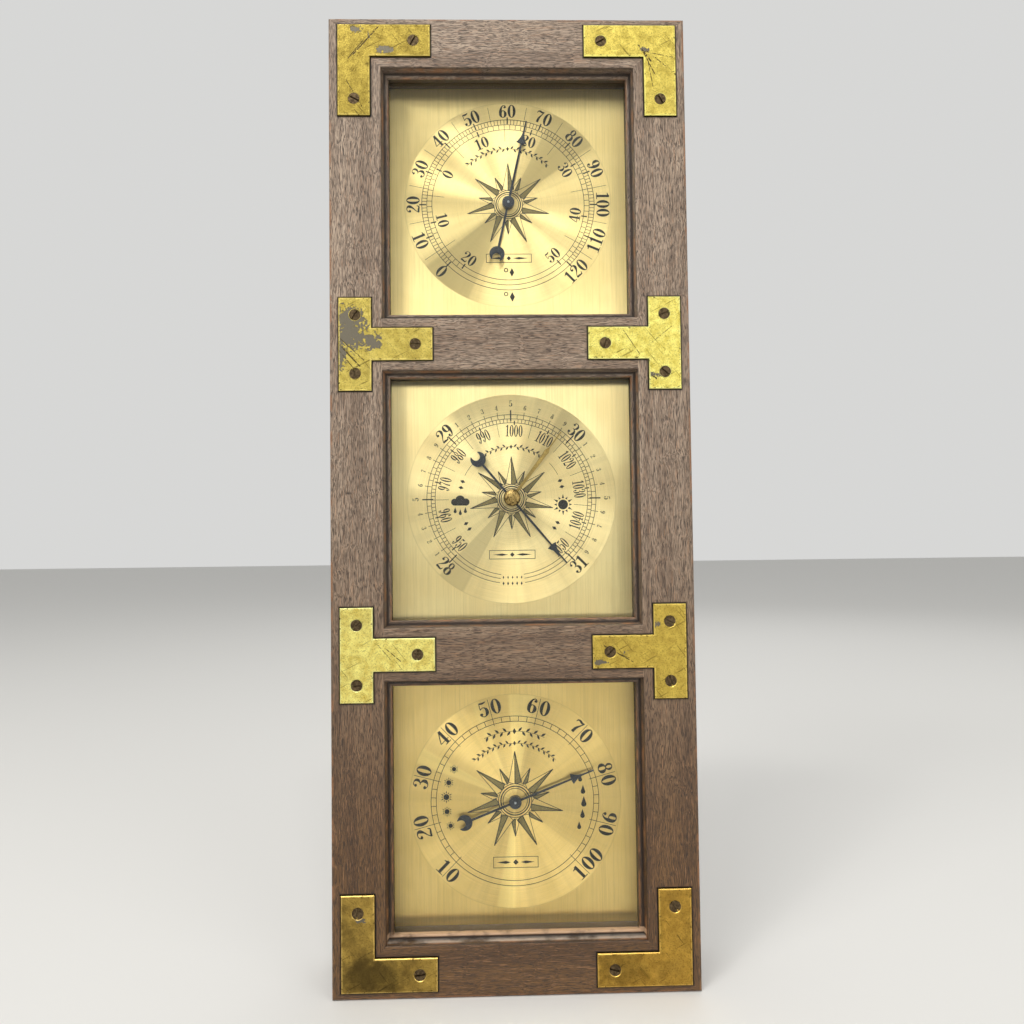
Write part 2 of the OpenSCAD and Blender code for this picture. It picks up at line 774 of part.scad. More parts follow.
// The capsule pulls the main lever, the lever's pin turns the rocker, the rocker's finger
// pushes the sector's tail pin, and the sector turns the pinion on the hand's arbor.
// Each is drawn as it stands half way through its travel and turned from there to its reading.
barometer_z = win_z[1];
barometer_turn = 140;
hand_low = -135;
hand_high = 150;
sector_mid = (barometer_turn - (hand_low + hand_high) / 2) / gear_ratio;

// Depths of the movement's layers
front_plate_d = dial_back + 1.2;
movement_plate_t = 1;
sector_d = front_plate_d + movement_plate_t + 1;
sector_t = 1.2;
rear_plate_d = sector_d + sector_t + 2.3;
lever_d = rear_plate_d + movement_plate_t + 1.1;
lever_t = 1;
base_d = dial_back + 17.7;
base_t = 1.2;
spring_t = 0.8;
capsule_front = lever_d + lever_t + 1.3;
capsule_back = base_d - 0.9;

// Centres, as [x, z]
sector_teeth = pinion_teeth * gear_ratio;
pinion_pitch_r = gear_module * pinion_teeth / 2;
sector_pitch_r = gear_module * sector_teeth / 2;
arbor_place = [0, barometer_z];
sector_place = arbor_place - [0, pinion_pitch_r + sector_pitch_r];
capsule_place = [0, barometer_z + 28];
tail_r = 6.5;
tail_pin_r = 0.6;
knuckle_r = 0.7;
touch = 0.1;
rocker_x = -(knuckle_r + tail_pin_r + touch);
rocker_d = base_d - 5.5;
rocker_arm = 3.2;
lever_tip = [rocker_x + rocker_arm, barometer_z - 20];
spring_bend = [0, barometer_z + 57];
lever_reach = spring_bend[1] - lever_tip[1];
lever_ratio = rocker_arm / lever_reach;

pointer_arbor_r = 0.75;
barometer_hub_front = glass_back + 2.4;

module barometer_hand() {
    color([0.15, 0.16, 0.18])
        hand_at(barometer_z, barometer_turn, barometer_hub_front, pointer_arbor_r + press,
            barometer_tip, tail_len - 1);
}

// Involute teeth, thinned for backlash
pressure_angle = 20;
tooth_thinning = 0.09;
addendum = 0.9 * gear_module;
dedendum = 1.25 * gear_module;
root_bury = 0.1;
function involute_turn(r, base) = let (t = sqrt(max((r / base) * (r / base) - 1, 0)))
    t * 180 / PI - atan(t);
function tooth_half(r, pitch_r) = let (base = pitch_r * cos(pressure_angle))
    (gear_module * PI / 4 - tooth_thinning / 2) / pitch_r * 180 / PI
    + involute_turn(pitch_r, base) - involute_turn(max(r, base), base);

module tooth(pitch_r, a) {
    low = pitch_r - dedendum - root_bury;
    radii = [for (i = [0:5]) low + (pitch_r + addendum - low) * i / 5];
    polygon(concat(
        [for (r = radii) polar(r, a - tooth_half(r, pitch_r))],
        [for (i = [5:-1:0]) polar(radii[i], a + tooth_half(radii[i], pitch_r))]));
}

module pinion_outline() {
    circle(pinion_pitch_r - dedendum);
    for (i = [0:pinion_teeth - 1]) tooth(pinion_pitch_r, -90 + (i + 0.5) * 360 / pinion_teeth);
}

// Room between the movement's moving layers, and how far pivots stand out of the rear plate
layer_gap = 0.3;
pivot_out = 0.2;
hairspring_collet_r = 1.6;
hairspring_w = 0.9;
hairspring_t = 0.24;

// The pinion is cut on the arbor, and at mid travel a gap faces the sector
module barometer_arbor() {
    color([0.78, 0.70, 0.45]) {
        rod(arbor_place, barometer_hub_front - pivot_out, rear_plate_d + movement_plate_t + pivot_out,
            pointer_arbor_r);
        translate([0, 0, barometer_z]) rotate([0, gear_ratio * sector_mid, 0])
            slab(sector_d - layer_gap, sector_t + 2 * layer_gap) pinion_outline();
        rod(arbor_place, sector_d + sector_t + layer_gap, hairspring_d + hairspring_w + layer_gap,
            hairspring_collet_r);
    }
}

// Flat hairspring round the arbor's collet, pinned to a stud on the rear plate
stud_r = 0.8;
hairspring_r = 7;
hairspring_turns = 4;
hairspring_d = sector_d + sector_t + 2 * layer_gap;
stud_place = arbor_place + [0, hairspring_r + hairspring_t / 2 + run + stud_r];

module hairspring() {
    color([0.70, 0.72, 0.75])
        slab(hairspring_d, hairspring_w) translate(arbor_place)
            spiral_strip(hairspring_collet_r + hairspring_t / 2 + run, hairspring_r, hairspring_turns,
                hairspring_t, 90);
}

sector_bore_r = 1;
sector_hub_r = 3;
sector_span = 23;
rim_w = 3.2;
spoke_w = 2;
spoke_in = 2.4;
tail_w = 2.4;
tail_end_r = 1.4;
// How far the tail pin laps over the rocker's knuckle
pin_lap = 0.7;

module sector_outline() {
    rim = sector_pitch_r - dedendum;
    step = 360 / sector_teeth;
    edge = floor(sector_span / step) * step + step / 2;
    intersection() {
        difference() {
            circle(rim, $fn = 180);
            circle(rim - rim_w, $fn = 180);
        }
        polygon(concat([[0, 0]], [for (a = [-edge:edge:edge]) polar(2 * rim, 90 + a)]));
    }
    for (i = [-floor(sector_span / step):floor(sector_span / step)])
        tooth(sector_pitch_r, 90 + i * step);
    for (a = [-edge + spoke_in, edge - spoke_in])
        rotate(a) translate([-spoke_w / 2, 0]) square([spoke_w, rim - rim_w / 2]);
    circle(sector_hub_r);
    translate([-tail_w / 2, -tail_r]) square([tail_w, tail_r]);
    translate([0, -tail_r]) circle(tail_end_r);
}

// Sector with its own arbor, and a pin on its tail that reaches back to the rocker
module sector_gear() {
    color([0.80, 0.68, 0.38])
    translate([sector_place[0], 0, sector_place[1]]) rotate([0, -sector_mid, 0]) {
        slab(sector_d, sector_t) sector_outline();
        rod([0, 0], front_plate_d - pivot_out, rear_plate_d + movement_plate_t + pivot_out,
            sector_bore_r - run);
        rod([0, -tail_r], sector_d, rocker_d - tail_r + pin_lap, tail_pin_r);
    }
}

// Rocker: an upright shaft with two collars between its ears, a finger towards the dial that
// ends in a round knuckle, and at its upper end an arm to the right
rocker_shaft_r = 0.8;
rocker_half = 0.5;
finger_w = 0.7;
finger_h = 2.4;
knuckle_h = 3;
arm_h = 2;
collar_t = 1;
ear_t = 1.4;
rocker_low = sector_place[1] - tail_r - 5.5;
rocker_high = lever_tip[1] + 1.2;
lower_ear_z = rocker_low + 0.8;
upper_ear_z = lever_tip[1] - 5.4;
finger_z = sector_place[1] - tail_r;

module rocker() {
    color([0.66, 0.66, 0.64])
    translate([rocker_x, rocker_d - frame_d, 0]) rotate([0, 0, sector_mid]) {
        translate([0, 0, rocker_low]) cylinder(h = rocker_high - rocker_low, r = rocker_shaft_r);
        for (z = [lower_ear_z + ear_t + 2 * run, upper_ear_z - collar_t - 2 * run])
            translate([0, 0, z]) cylinder(h = collar_t, r = 2 * rocker_shaft_r);
        translate([-finger_w / 2, -tail_r, finger_z - finger_h / 2]) cube([finger_w, tail_r, finger_h]);
        translate([0, -tail_r, finger_z - knuckle_h / 2]) cylinder(h = knuckle_h, r = knuckle_r);
        translate([0, -rocker_half, lever_tip[1] - arm_h / 2])
            cube([rocker_arm + 1, 2 * rocker_half, arm_h]);
    }
}

// Main lever on the C-shaped spring's upper limb, with a pin that rests on the rocker's arm
lever_w = 8;
lever_end_w = 5;
lever_end = 2;
// The lever's pin tapers to a point that stays a little clear of the rocker's arm
tip_gap = 0.15;
taper_len = 1;
point_r = 0.1;
pin_tip_d = rocker_d - rocker_half - tip_gap;
stem_gap = 0.35;

module main_lever() {
    color([0.72, 0.60, 0.32])
    translate([0, spring_axis_d - frame_d, spring_bend[1]]) rotate([lever_turn, 0, 0])
    translate([0, frame_d - spring_axis_d, -spring_bend[1]]) difference() {
        union() {
            slab(lever_d, lever_t) polygon([
                [-lever_w / 2, spring_bend[1] - 1], [lever_w / 2, spring_bend[1] - 1],
                [lever_tip[0] + lever_end_w / 2, lever_tip[1] - lever_end],
                [lever_tip[0] - lever_end_w / 2, lever_tip[1] - lever_end]]);
            rod(lever_tip, lever_d + lever_t, pin_tip_d - taper_len, tail_pin_r);
            rod(lever_tip, pin_tip_d - taper_len, pin_tip_d, tail_pin_r, point_r);
        }
        rod(capsule_place, lever_d - over, lever_d + lever_t + over, stem_r + stem_gap);
    }
}

// Main spring: a flat strip bent round in a half circle, its rear limb on the base plate and
// its front limb on the main lever. As the capsule is squeezed the lever leans back.
spring_w = 14;
spring_outer_r = (base_d - lever_d - lever_t) / 2;
spring_axis_d = base_d - spring_outer_r;
spring_foot = 7;
spring_limb = 10;
lever_turn = lever_ratio * sector_mid;

// One side of the strip, at radius r, from its foot to its end
function spring_side(r) = let (centre = [spring_axis_d, spring_bend[1]], half_turn = 180 + lever_turn)
    concat([centre + [r, -spring_foot]], arc(centre, r, 0, half_turn, 24),
        [centre + r * [cos(half_turn), sin(half_turn)]
            + spring_limb * [sin(lever_turn), -cos(lever_turn)]]);

module main_spring() {
    inner = spring_side(spring_outer_r - spring_t);
    color([0.60, 0.62, 0.64])
        translate([-spring_w / 2, -frame_d, 0]) rotate([90, 0, 90]) linear_extrude(spring_w)
            polygon(concat(spring_side(spring_outer_r), [for (i = [len(inner) - 1:-1:0]) inner[i]]));
}

// Pressure capsule: two corrugated discs joined at the rim, a stem in front and a stud behind
stem_r = 1.5;
stem_end = lever_d - 1;
capsule_stud_r = 2.5;
collar_lip = 0.2;
flat_w = 2;
ripples = 4;
ripple_h = 0.35;
rim_in = 1;
rim_half = 0.6;
foot_gap = 0.1;

module capsule() {
    mid = (capsule_front + capsule_back) / 2;
    thick = (capsule_back - capsule_front) / 2;
    steps = 40;
    first = stem_r + flat_w + rim_in;
    wave = [for (i = [0:steps]) let (r = first + (capsule_r - 1.5 * rim_in - first) * i / steps)
        [r, thick - ripple_h + ripple_h * cos(360 * ripples * i / steps)]];
    front = [for (p = wave) [p[0], mid - p[1]]];
    back = [for (i = [steps:-1:0]) [wave[i][0], mid + wave[i][1]]];
    color([0.74, 0.70, 0.55]) turned(capsule_place)
        polygon(concat(
            [[0, stem_end], [stem_r, stem_end], [stem_r, capsule_front - collar_lip],
             [stem_r + flat_w, capsule_front - collar_lip]],
            front,
            [[capsule_r - rim_in, mid - rim_half], [capsule_r, mid - rim_half],
             [capsule_r, mid + rim_half], [capsule_r - rim_in, mid + rim_half]],
            back,
            [[capsule_stud_r, capsule_back], [capsule_stud_r, base_d - foot_gap],
             [0, base_d - foot_gap]]));
}

// Slotted screw in the base plate, turned through the back panel to set the hand
capsule_screw_r = 2.5;
capsule_screw_head_r = 3.8;
capsule_screw_head_t = 1.2;
capsule_screw_slot_w = 0.8;
capsule_screw_slot_d = 0.7;

capsule_screw_seat = base_d + base_t + foot_gap;
capsule_screw_end = capsule_screw_seat + capsule_screw_head_t;

module capsule_screw() {
    color([0.75, 0.64, 0.34]) difference() {
        union() {
            rod(capsule_place, base_d, capsule_screw_seat, capsule_screw_r);
            rod(capsule_place, capsule_screw_seat, capsule_screw_end, capsule_screw_head_r);
        }
        box([-capsule_screw_slot_w / 2, capsule_screw_end - capsule_screw_slot_d,
                capsule_place[1] - capsule_screw_head_r - over],
            [capsule_screw_slot_w / 2, capsule_screw_end + over,
                capsule_place[1] + capsule_screw_head_r + over]);
    }
}

// Base plate behind the movement, with two ears that carry the rocker's shaft
base_half_x = 36;
base_low = barometer_z - 56;
base_high = barometer_z + 62;
base_pillar_r = 2.5;
movement_pillar_r = 2;
ear_half = 3;
ear_out = 2;
waist_r = 14;
waist_z = barometer_z - 16;
base_pillar_x = 30;
base_pillar_in = 7;
movement_pillar_x = 15;
movement_pillar_rise = 4;
movement_pillar_neck_r = 1.4;
base_pillar_places = [for (x = [-base_pillar_x, base_pillar_x])
    for (z = [base_low + base_pillar_in, base_high - base_pillar_in]) [x, z]];
movement_pillar_places = [for (x = [-movement_pillar_x, movement_pillar_x])
    for (z = [barometer_z + movement_pillar_rise, sector_place[1]]) [x, z]];

module base_plate() {
    color([0.70, 0.62, 0.42]) difference() {
        union() {
            slab(base_d, base_t) difference() {
                translate([-base_half_x, base_low])
                    square([2 * base_half_x, base_high - base_low]);
                for (x = [-base_half_x, base_half_x]) translate([x, waist_z]) circle(waist_r);
            }
            for (z = [lower_ear_z, upper_ear_z])
                box([rocker_x - ear_half, rocker_d - ear_out, z],
                    [rocker_x + ear_half, base_d, z + ear_t]);
        }
        rod(capsule_place, base_d - over, base_d + base_t + over, capsule_screw_r + run);
        translate([rocker_x, rocker_d - frame_d, rocker_low - over])
            cylinder(h = rocker_high - rocker_low + 2 * over, r = rocker_shaft_r + run);
    }
}

module base_pillars() {
    color([0.75, 0.66, 0.40])
    for (p = base_pillar_places) rod(p, dial_back, base_d, base_pillar_r);
}

module movement_pillars() {
    color([0.75, 0.66, 0.40])
    for (p = movement_pillar_places) {
        rod(p, front_plate_d + movement_plate_t, rear_plate_d, movement_pillar_r);
        rod(p, rear_plate_d, rear_plate_d + movement_plate_t, movement_pillar_neck_r);
        rod(p, rear_plate_d + movement_plate_t, base_d, movement_pillar_r);
    }
}

// Outline of both movement plates, with a window between the two pivots
movement_half_x = 18;
movement_below = 3.5;
movement_above = 8;
movement_window = [18, 10];
movement_window_rise = 12;

module movement_outline() {
    difference() {
        translate([-movement_half_x, sector_place[1] - movement_below])
            square([2 * movement_half_x,
                barometer_z - sector_place[1] + movement_below + movement_above]);
        translate([-movement_window[0] / 2, sector_place[1] + movement_window_rise])
            square(movement_window);
    }
}

module movement_front_plate() {
    color([0.78, 0.68, 0.40]) difference() {
        slab(front_plate_d, movement_plate_t) movement_outline();
        rod(arbor_place, front_plate_d - over, front_plate_d + 2, pointer_arbor_r + run);
        rod(sector_place, front_plate_d - over, front_plate_d + 2, sector_bore_r);
    }
}

module movement_rear_plate() {
    color([0.78, 0.68, 0.40]) {
        difference() {
            slab(rear_plate_d, movement_plate_t) movement_outline();
            rod(arbor_place, rear_plate_d - over, rear_plate_d + 2, pointer_arbor_r + run);
            rod(sector_place, rear_plate_d - over, rear_plate_d + 2, sector_bore_r);
            for (p = movement_pillar_places)
                rod(p, rear_plate_d - over, rear_plate_d + 2, movement_pillar_neck_r + run);
        }
        rod(stud_place, hairspring_d - layer_gap, rear_plate_d, stud_r);
    }
}

// Set hand on the front of the barometer, turned by a knob outside the glass
shaft_r = 1.3;
shaft_out = 0.1;
set_turn = 37.2;
set_hand_d = glass_back + 0.7;
set_hand_hub_r = 3;
set_hand_hub_t = 1;
knob_d = 1.2;
knob_base = glass_d - 0.6;
knob_edge = 0.8;
knob_side = 1.6;
bush_flange_t = [0.5, 0.4];
bush_flange_lip = [1.2, 0.8];
// Half the set hand's outline from the hub to the point, as [half width, distance]
set_outline = [[0.6, 0], [1.1, 28], [1.3, 29.5], [0.35, 32], [0.3, set_tip]];

module set_hand() {
    color([0.80, 0.66, 0.30])
    translate([0, 0, barometer_z]) rotate([0, set_turn, 0]) difference() {
        union() {
            slab(set_hand_d + hub_lip, hand_t) polygon(concat(set_outline,
                [for (i = [len(set_outline) - 1:-1:0]) [-set_outline[i][0], set_outline[i][1]]]));
            rod([0, 0], set_hand_d, set_hand_d + set_hand_hub_t, set_hand_hub_r);
        }
        rod([0, 0], set_hand_d - over, set_hand_d + 2, shaft_r + press);
    }
}

// Knob and shaft turned in one piece, with a domed face
module set_knob() {
    dome_r = knob_dia * 0.75;
    rim = knob_dia / 2;
    dome_h = dome_r - sqrt(dome_r * dome_r - rim * rim);
    crown = asin(rim / dome_r);
    side_end = knob_d + dome_h + knob_side;
    shaft_end = set_hand_d + set_hand_hub_t + shaft_out;
    steps = 8;
    color([0.80, 0.66, 0.30]) turned(arbor_place)
        polygon(concat([[0, shaft_end]],
            [for (i = [0:steps]) let (a = crown * i / steps)
                [dome_r * sin(a), knob_d + dome_r * (1 - cos(a))]],
            [[rim, side_end], [rim - knob_edge, side_end + knob_edge],
             [rim - knob_edge, knob_base - knob_edge], [rim - 2 * knob_edge, knob_base],
             [shaft_r, knob_base], [shaft_r, shaft_end]]));
}

module set_bush() {
    color([0.82, 0.70, 0.36]) difference() {
        union() {
            rod(arbor_place, glass_d, glass_back, set_bush_r);
            rod(arbor_place, glass_d - bush_flange_t[0], glass_d, set_bush_r + bush_flange_lip[0]);
            rod(arbor_place, glass_back, glass_back + bush_flange_t[1],
                set_bush_r + bush_flange_lip[1]);
        }
        rod(arbor_place, glass_d - over, glass_back + over, shaft_r + run);
    }
}

left_stile();
right_stile();
top_rail();
upper_middle_rail();
lower_middle_rail();
bottom_rail();
frame_dowels();
top_left_corner_plate();
top_right_corner_plate();
bottom_left_corner_plate();
bottom_right_corner_plate();
upper_left_tee_plate();
upper_right_tee_plate();
lower_left_tee_plate();
lower_right_tee_plate();
plate_screws();
hanger_plate();
hanger_screws();
back_panel();
back_panel_screws();
thermometer_glass();
barometer_glass();
humidity_glass();
glass_spacers();
thermometer_dial();
barometer_dial();
humidity_dial();
dial_clips();
thermometer_hand();
thermometer_arbor();
thermometer_bush();
thermometer_nut();
thermometer_bracket();
thermometer_coil();
thermometer_adjuster();
humidity_hand();
humidity_arbor();
humidity_bush();
humidity_nut();
humidity_bracket();
humidity_coil();
humidity_adjuster();
barometer_hand();
barometer_arbor();
hairspring();
sector_gear();
rocker();
main_lever();
main_spring();
capsule();
capsule_screw();
base_plate();
base_pillars();
movement_front_plate();
movement_rear_plate();
movement_pillars();
set_hand();
set_knob();
set_bush();
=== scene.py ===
import math

import bpy
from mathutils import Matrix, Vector
from mathutils.geometry import delaunay_2d_cdt


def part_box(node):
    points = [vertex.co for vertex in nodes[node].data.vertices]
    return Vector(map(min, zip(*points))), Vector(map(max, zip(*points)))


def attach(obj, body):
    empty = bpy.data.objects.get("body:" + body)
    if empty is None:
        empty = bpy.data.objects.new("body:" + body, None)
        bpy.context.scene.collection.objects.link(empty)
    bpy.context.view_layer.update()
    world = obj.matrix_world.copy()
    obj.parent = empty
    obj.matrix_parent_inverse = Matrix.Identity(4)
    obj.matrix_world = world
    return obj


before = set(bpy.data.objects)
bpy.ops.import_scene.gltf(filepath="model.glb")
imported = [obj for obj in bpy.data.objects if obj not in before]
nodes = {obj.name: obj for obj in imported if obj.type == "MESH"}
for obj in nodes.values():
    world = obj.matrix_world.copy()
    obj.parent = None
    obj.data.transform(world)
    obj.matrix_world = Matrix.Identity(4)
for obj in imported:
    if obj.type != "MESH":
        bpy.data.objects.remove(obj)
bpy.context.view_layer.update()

# The object's own sizes, in millimetres, with the origin at the hanger's keyhole
MM = 0.001
case_half = 89
case_top = 12
case_bottom = -468
front_y = -42
window_half = 63
window_pitch = 152
sill_z = -443
right_plates = ("top_right_corner_plate", "upper_right_tee_plate", "lower_right_tee_plate",
                "bottom_right_corner_plate")
plate_width = 16
plate_front = front_y - 1
disc_radius = 53.2

# How far the ink and the roses' shading lie in front of a dial
ink_lift = 0.03
shade_lift = 0.015


def centre_of(node):
    low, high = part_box(node)
    return (low + high) / 2


dial_centres = {name: centre_of(name + "_dial") / MM for name in ("thermometer", "barometer", "humidity")}

# Camera, where the photographer's stood
photo_size = 1024
photo_focal = 758.5
sensor_width = 36
camera_place = (-9.0, -413.5, -247.4)
camera_turn = (91.877, 0.673, -1.329)


def make_camera():
    data = bpy.data.cameras.new("camera")
    data.sensor_width = sensor_width
    data.lens = photo_focal / photo_size * sensor_width
    data.clip_start = 0.01
    camera = bpy.data.objects.new("camera", data)
    camera.location = Vector(camera_place) * MM
    camera.rotation_euler = [math.radians(a) for a in camera_turn]
    bpy.context.scene.collection.objects.link(camera)
    bpy.context.scene.camera = camera


# Floor, lamps and the pale surroundings

def srgb(red, green, blue):
    """Linear colour of a screen colour given from 0 to 255."""
    parts = [c / 255 for c in (red, green, blue)]
    return tuple(c / 12.92 if c <= 0.04045 else ((c + 0.055) / 1.055) ** 2.4 for c in parts) + (1.0,)


def make_lamp(name, place, target, size, power, colour=(1, 1, 1)):
    data = bpy.data.lights.new(name, "AREA")
    data.shape = "RECTANGLE"
    data.size, data.size_y = size
    data.energy = power
    data.color = colour
    lamp = bpy.data.objects.new(name, data)
    lamp.location = place
    lamp.rotation_euler = (Vector(target) - Vector(place)).to_track_quat("-Z", "Y").to_euler()
    bpy.context.scene.collection.objects.link(lamp)


def make_studio():
    """Lamps by place, target, size and power, then the light and the look of the surroundings."""
    middle = (0, 0, -0.23)
    high = (0, 0, -0.12)
    daylight = (1.0, 0.98, 0.95)
    make_lamp("left", (-1.12, -1.50, 0.28), high, (0.5, 0.6), 4.5, daylight)
    make_lamp("key", (-1.10, -1.08, 1.08), high, (0.5, 0.35), 7.5, daylight)
    make_lamp("upper_left", (-0.58, -1.00, 1.48), high, (0.5, 0.22), 7.5, daylight)
    make_lamp("top", (0.02, -1.06, 1.52), high, (0.5, 0.2), 10.5, daylight)
    make_lamp("front", (0.03, -1.85, 0.303), middle, (0.3, 0.14), 0.8, daylight)
    make_lamp("fill", (1.1, -1.2, 0.1), middle, (0.9, 1.2), 6.5, daylight)
    make_lamp("rim", (0.6, 1.3, 0.7), middle, (1.2, 0.8), 3.5)
    make_world((0.5, 0.5, 0.49, 1), (0.68, 0.68, 0.67, 1))


def make_world(light, backdrop):
    """A plain surrounding that lights with one colour and is seen, also in metal and glass, as another."""
    world = bpy.data.worlds.new("world")
    world.use_nodes = True
    tree = world.node_tree
    path = tree.nodes.new("ShaderNodeLightPath")
    seen = path.outputs["Is Camera Ray"]
    for ray in ("Is Glossy Ray", "Is Transmission Ray"):
        either = tree.nodes.new("ShaderNodeMath")
        either.operation = "MAXIMUM"
        tree.links.new(seen, either.inputs[0])
        tree.links.new(path.outputs[ray], either.inputs[1])
        seen = either.outputs[0]
    colour = tree.nodes.new("ShaderNodeMix")
    colour.data_type = "RGBA"
    tree.links.new(seen, colour.inputs[0])
    colour.inputs[6].default_value = light
    colour.inputs[7].default_value = backdrop
    tree.links.new(colour.outputs[2], tree.nodes["Background"].inputs["Color"])
    bpy.context.scene.world = world


def make_floor():
    radius = 6
    mesh = bpy.data.meshes.new("floor")
    corners = [(-radius, -radius), (radius, -radius), (radius, radius), (-radius, radius)]
    gap = 0.0002
    mesh.from_pydata([(x, y, case_bottom * MM - gap) for x, y in corners], [], [(0, 1, 2, 3)])
    floor = bpy.data.objects.new("floor", mesh)
    bpy.context.scene.collection.objects.link(floor)
    graph = Graph("floor")
    graph.surface(srgb(226, 225, 222), Roughness=0.7)
    mesh.materials.append(graph.material)


# A short way to write a material's nodes

class Graph:
    """A material, with one short call for each kind of node. Its points are in metres."""

    def __init__(self, name):
        self.material = bpy.data.materials.new(name)
        self.material.use_nodes = True
        self.tree = self.material.node_tree
        self.tree.nodes.clear()
        self.point = self.add("ShaderNodeTexCoord").outputs["Object"]

    def add(self, kind, inputs=None, **settings):
        node = self.tree.nodes.new(kind)
        for key, value in settings.items():
            setattr(node, key, value)
        for key, value in (inputs or {}).items():
            self.put(node.inputs[key], value)
        return node

    def put(self, socket, value):
        if isinstance(value, bpy.types.NodeSocket):
            self.tree.links.new(value, socket)
        else:
            socket.default_value = value

    def math(self, operation, *values, clamp=False):
        node = self.add("ShaderNodeMath", dict(enumerate(values)), operation=operation)
        node.use_clamp = clamp
        return node.outputs[0]

    def vector(self, operation, *values):
        node = self.add("ShaderNodeVectorMath", dict(enumerate(values)), operation=operation)
        return node.outputs["Value" if operation in ("LENGTH", "DOT_PRODUCT") else "Vector"]

    def split(self, vector):
        return self.add("ShaderNodeSeparateXYZ", {0: vector}).outputs

    def join(self, x=0.0, y=0.0, z=0.0):
        return self.add("ShaderNodeCombineXYZ", {0: x, 1: y, 2: z}).outputs[0]

    def times(self, vector, factors):
        return self.vector("MULTIPLY", vector, factors)

    def noise(self, vector, scale, detail=2.0, rough=0.5, distortion=0.0):
        node = self.add("ShaderNodeTexNoise", {
            "Vector": vector, "Scale": scale, "Detail": detail,
            "Roughness": rough, "Distortion": distortion})
        return node.outputs["Fac"]

    def step(self, value, low, high):
        """0 where value is at low and 1 where it is at high, smooth between them."""
        node = self.add("ShaderNodeMapRange", {
            "Value": value, "From Min": low, "From Max": high}, interpolation_type="SMOOTHSTEP")
        return node.outputs[0]

    def minus(self, a, b):
        return self.math("SUBTRACT", a, b)

    def absolute(self, value):
        return self.math("ABSOLUTE", value)

    def mix(self, factor, a, b):
        node = self.add("ShaderNodeMix", {0: factor, 6: a, 7: b}, data_type="RGBA")
        return node.outputs[2]

    def tint(self, colour, tone, mask, strength):
        """The colour with a tone laid over it by a mask, at a strength from 0 to 1."""
        return self.mix(self.math("MULTIPLY", mask, strength), colour, tone)

    def blend(self, factor, a, b):
        node = self.add("ShaderNodeMix", {0: factor, 2: a, 3: b}, data_type="FLOAT")
        return node.outputs[0]

    def both(self, *masks):
        total = masks[0]
        for mask in masks[1:]:
            total = self.math("MULTIPLY", total, mask)
        return total

    def either(self, *masks):
        total = masks[0]
        for mask in masks[1:]:
            total = self.math("MAXIMUM", total, mask)
        return total

    def bump(self, height, distance, strength):
        node = self.add("ShaderNodeBump", {
            "Height": height, "Distance": distance, "Strength": strength})
        return node.outputs[0]

    def surface(self, colour, **inputs):
        shader = self.add("ShaderNodeBsdfPrincipled")
        self.put(shader.inputs["Base Color"], colour)
        for key, value in inputs.items():
            self.put(shader.inputs[key.replace("_", " ")], value)
        self.output(shader.outputs[0])

    def output(self, shader):
        self.add("ShaderNodeOutputMaterial", {"Surface": shader})


def scratch(graph, start, end, width):
    """Mask of a straight scratch between two points [x, z] in millimetres."""
    x, _, z = graph.split(graph.point)
    flat = graph.join(x, 0.0, z)
    a = Vector((start[0], 0, start[1])) * MM
    along = Vector((end[0], 0, end[1])) * MM - a
    offset = graph.vector("SUBTRACT", flat, a)
    reach = graph.vector("DOT_PRODUCT", offset, along)
    share = graph.math("DIVIDE", reach, along.length_squared, clamp=True)
    nearest = graph.add("ShaderNodeVectorMath", {0: along, "Scale": share}, operation="SCALE").outputs[0]
    distance = graph.vector("LENGTH", graph.vector("SUBTRACT", offset, nearest))
    return graph.step(distance, width * MM / 2, width * MM / 4)


def oval_distance(graph, centre, size):
    """Distance from a point [x, z], which is 1 on the oval of the given half width and half height."""
    x, _, z = graph.split(graph.point)
    across = graph.math("DIVIDE", graph.minus(x, centre[0] * MM), size[0] * MM)
    up = graph.math("DIVIDE", graph.minus(z, centre[1] * MM), size[1] * MM)
    return graph.vector("LENGTH", graph.join(across, 0.0, up))


def patch(graph, centre, size):
    """Mask of an oval patch round a point [x, z], broken into islands with ragged edges."""
    distance = oval_distance(graph, centre, size)
    uneven = graph.math("MULTIPLY_ADD", graph.noise(graph.point, 330, 5, 0.6, 1.6), 4.4, -2.2)
    return graph.step(graph.math("ADD", distance, uneven), 1.0, 0.88)


def cloud_mask(graph, centre, size):
    """Soft mask of an oval cloud round a point [x, z], with an uneven outline."""
    distance = oval_distance(graph, centre, size)
    uneven = graph.math("MULTIPLY_ADD", graph.noise(graph.point, 140, 4, 0.6), 1.6, -0.8)
    return graph.step(graph.math("ADD", distance, uneven), 1.2, 0.4)


# Wood

def window_distance(graph, x, z):
    """How far a point of the front lies outside the nearest window's edge, below 0 inside it."""
    local = graph.math("ADD", graph.math("WRAP", z, 0.0, -window_pitch * MM), window_pitch / 2 * MM)
    far = graph.math("MAXIMUM", graph.absolute(x), graph.absolute(local))
    return graph.minus(far, window_half * MM)


def inside_depth(graph, x, z, boxes):
    """How far a point of the front lies inside the outline of boxes.

    A box is (left, low, right, high) in millimetres. The depth is in metres, and below 0 outside.
    """
    depths = []
    for left, low, right, high in boxes:
        across = graph.absolute(graph.minus(x, (left + right) / 2 * MM))
        up = graph.absolute(graph.minus(z, (low + high) / 2 * MM))
        depths.append(graph.math("MINIMUM", graph.minus((right - left) / 2 * MM, across),
                                 graph.minus((high - low) / 2 * MM, up)))
    return graph.either(*depths)


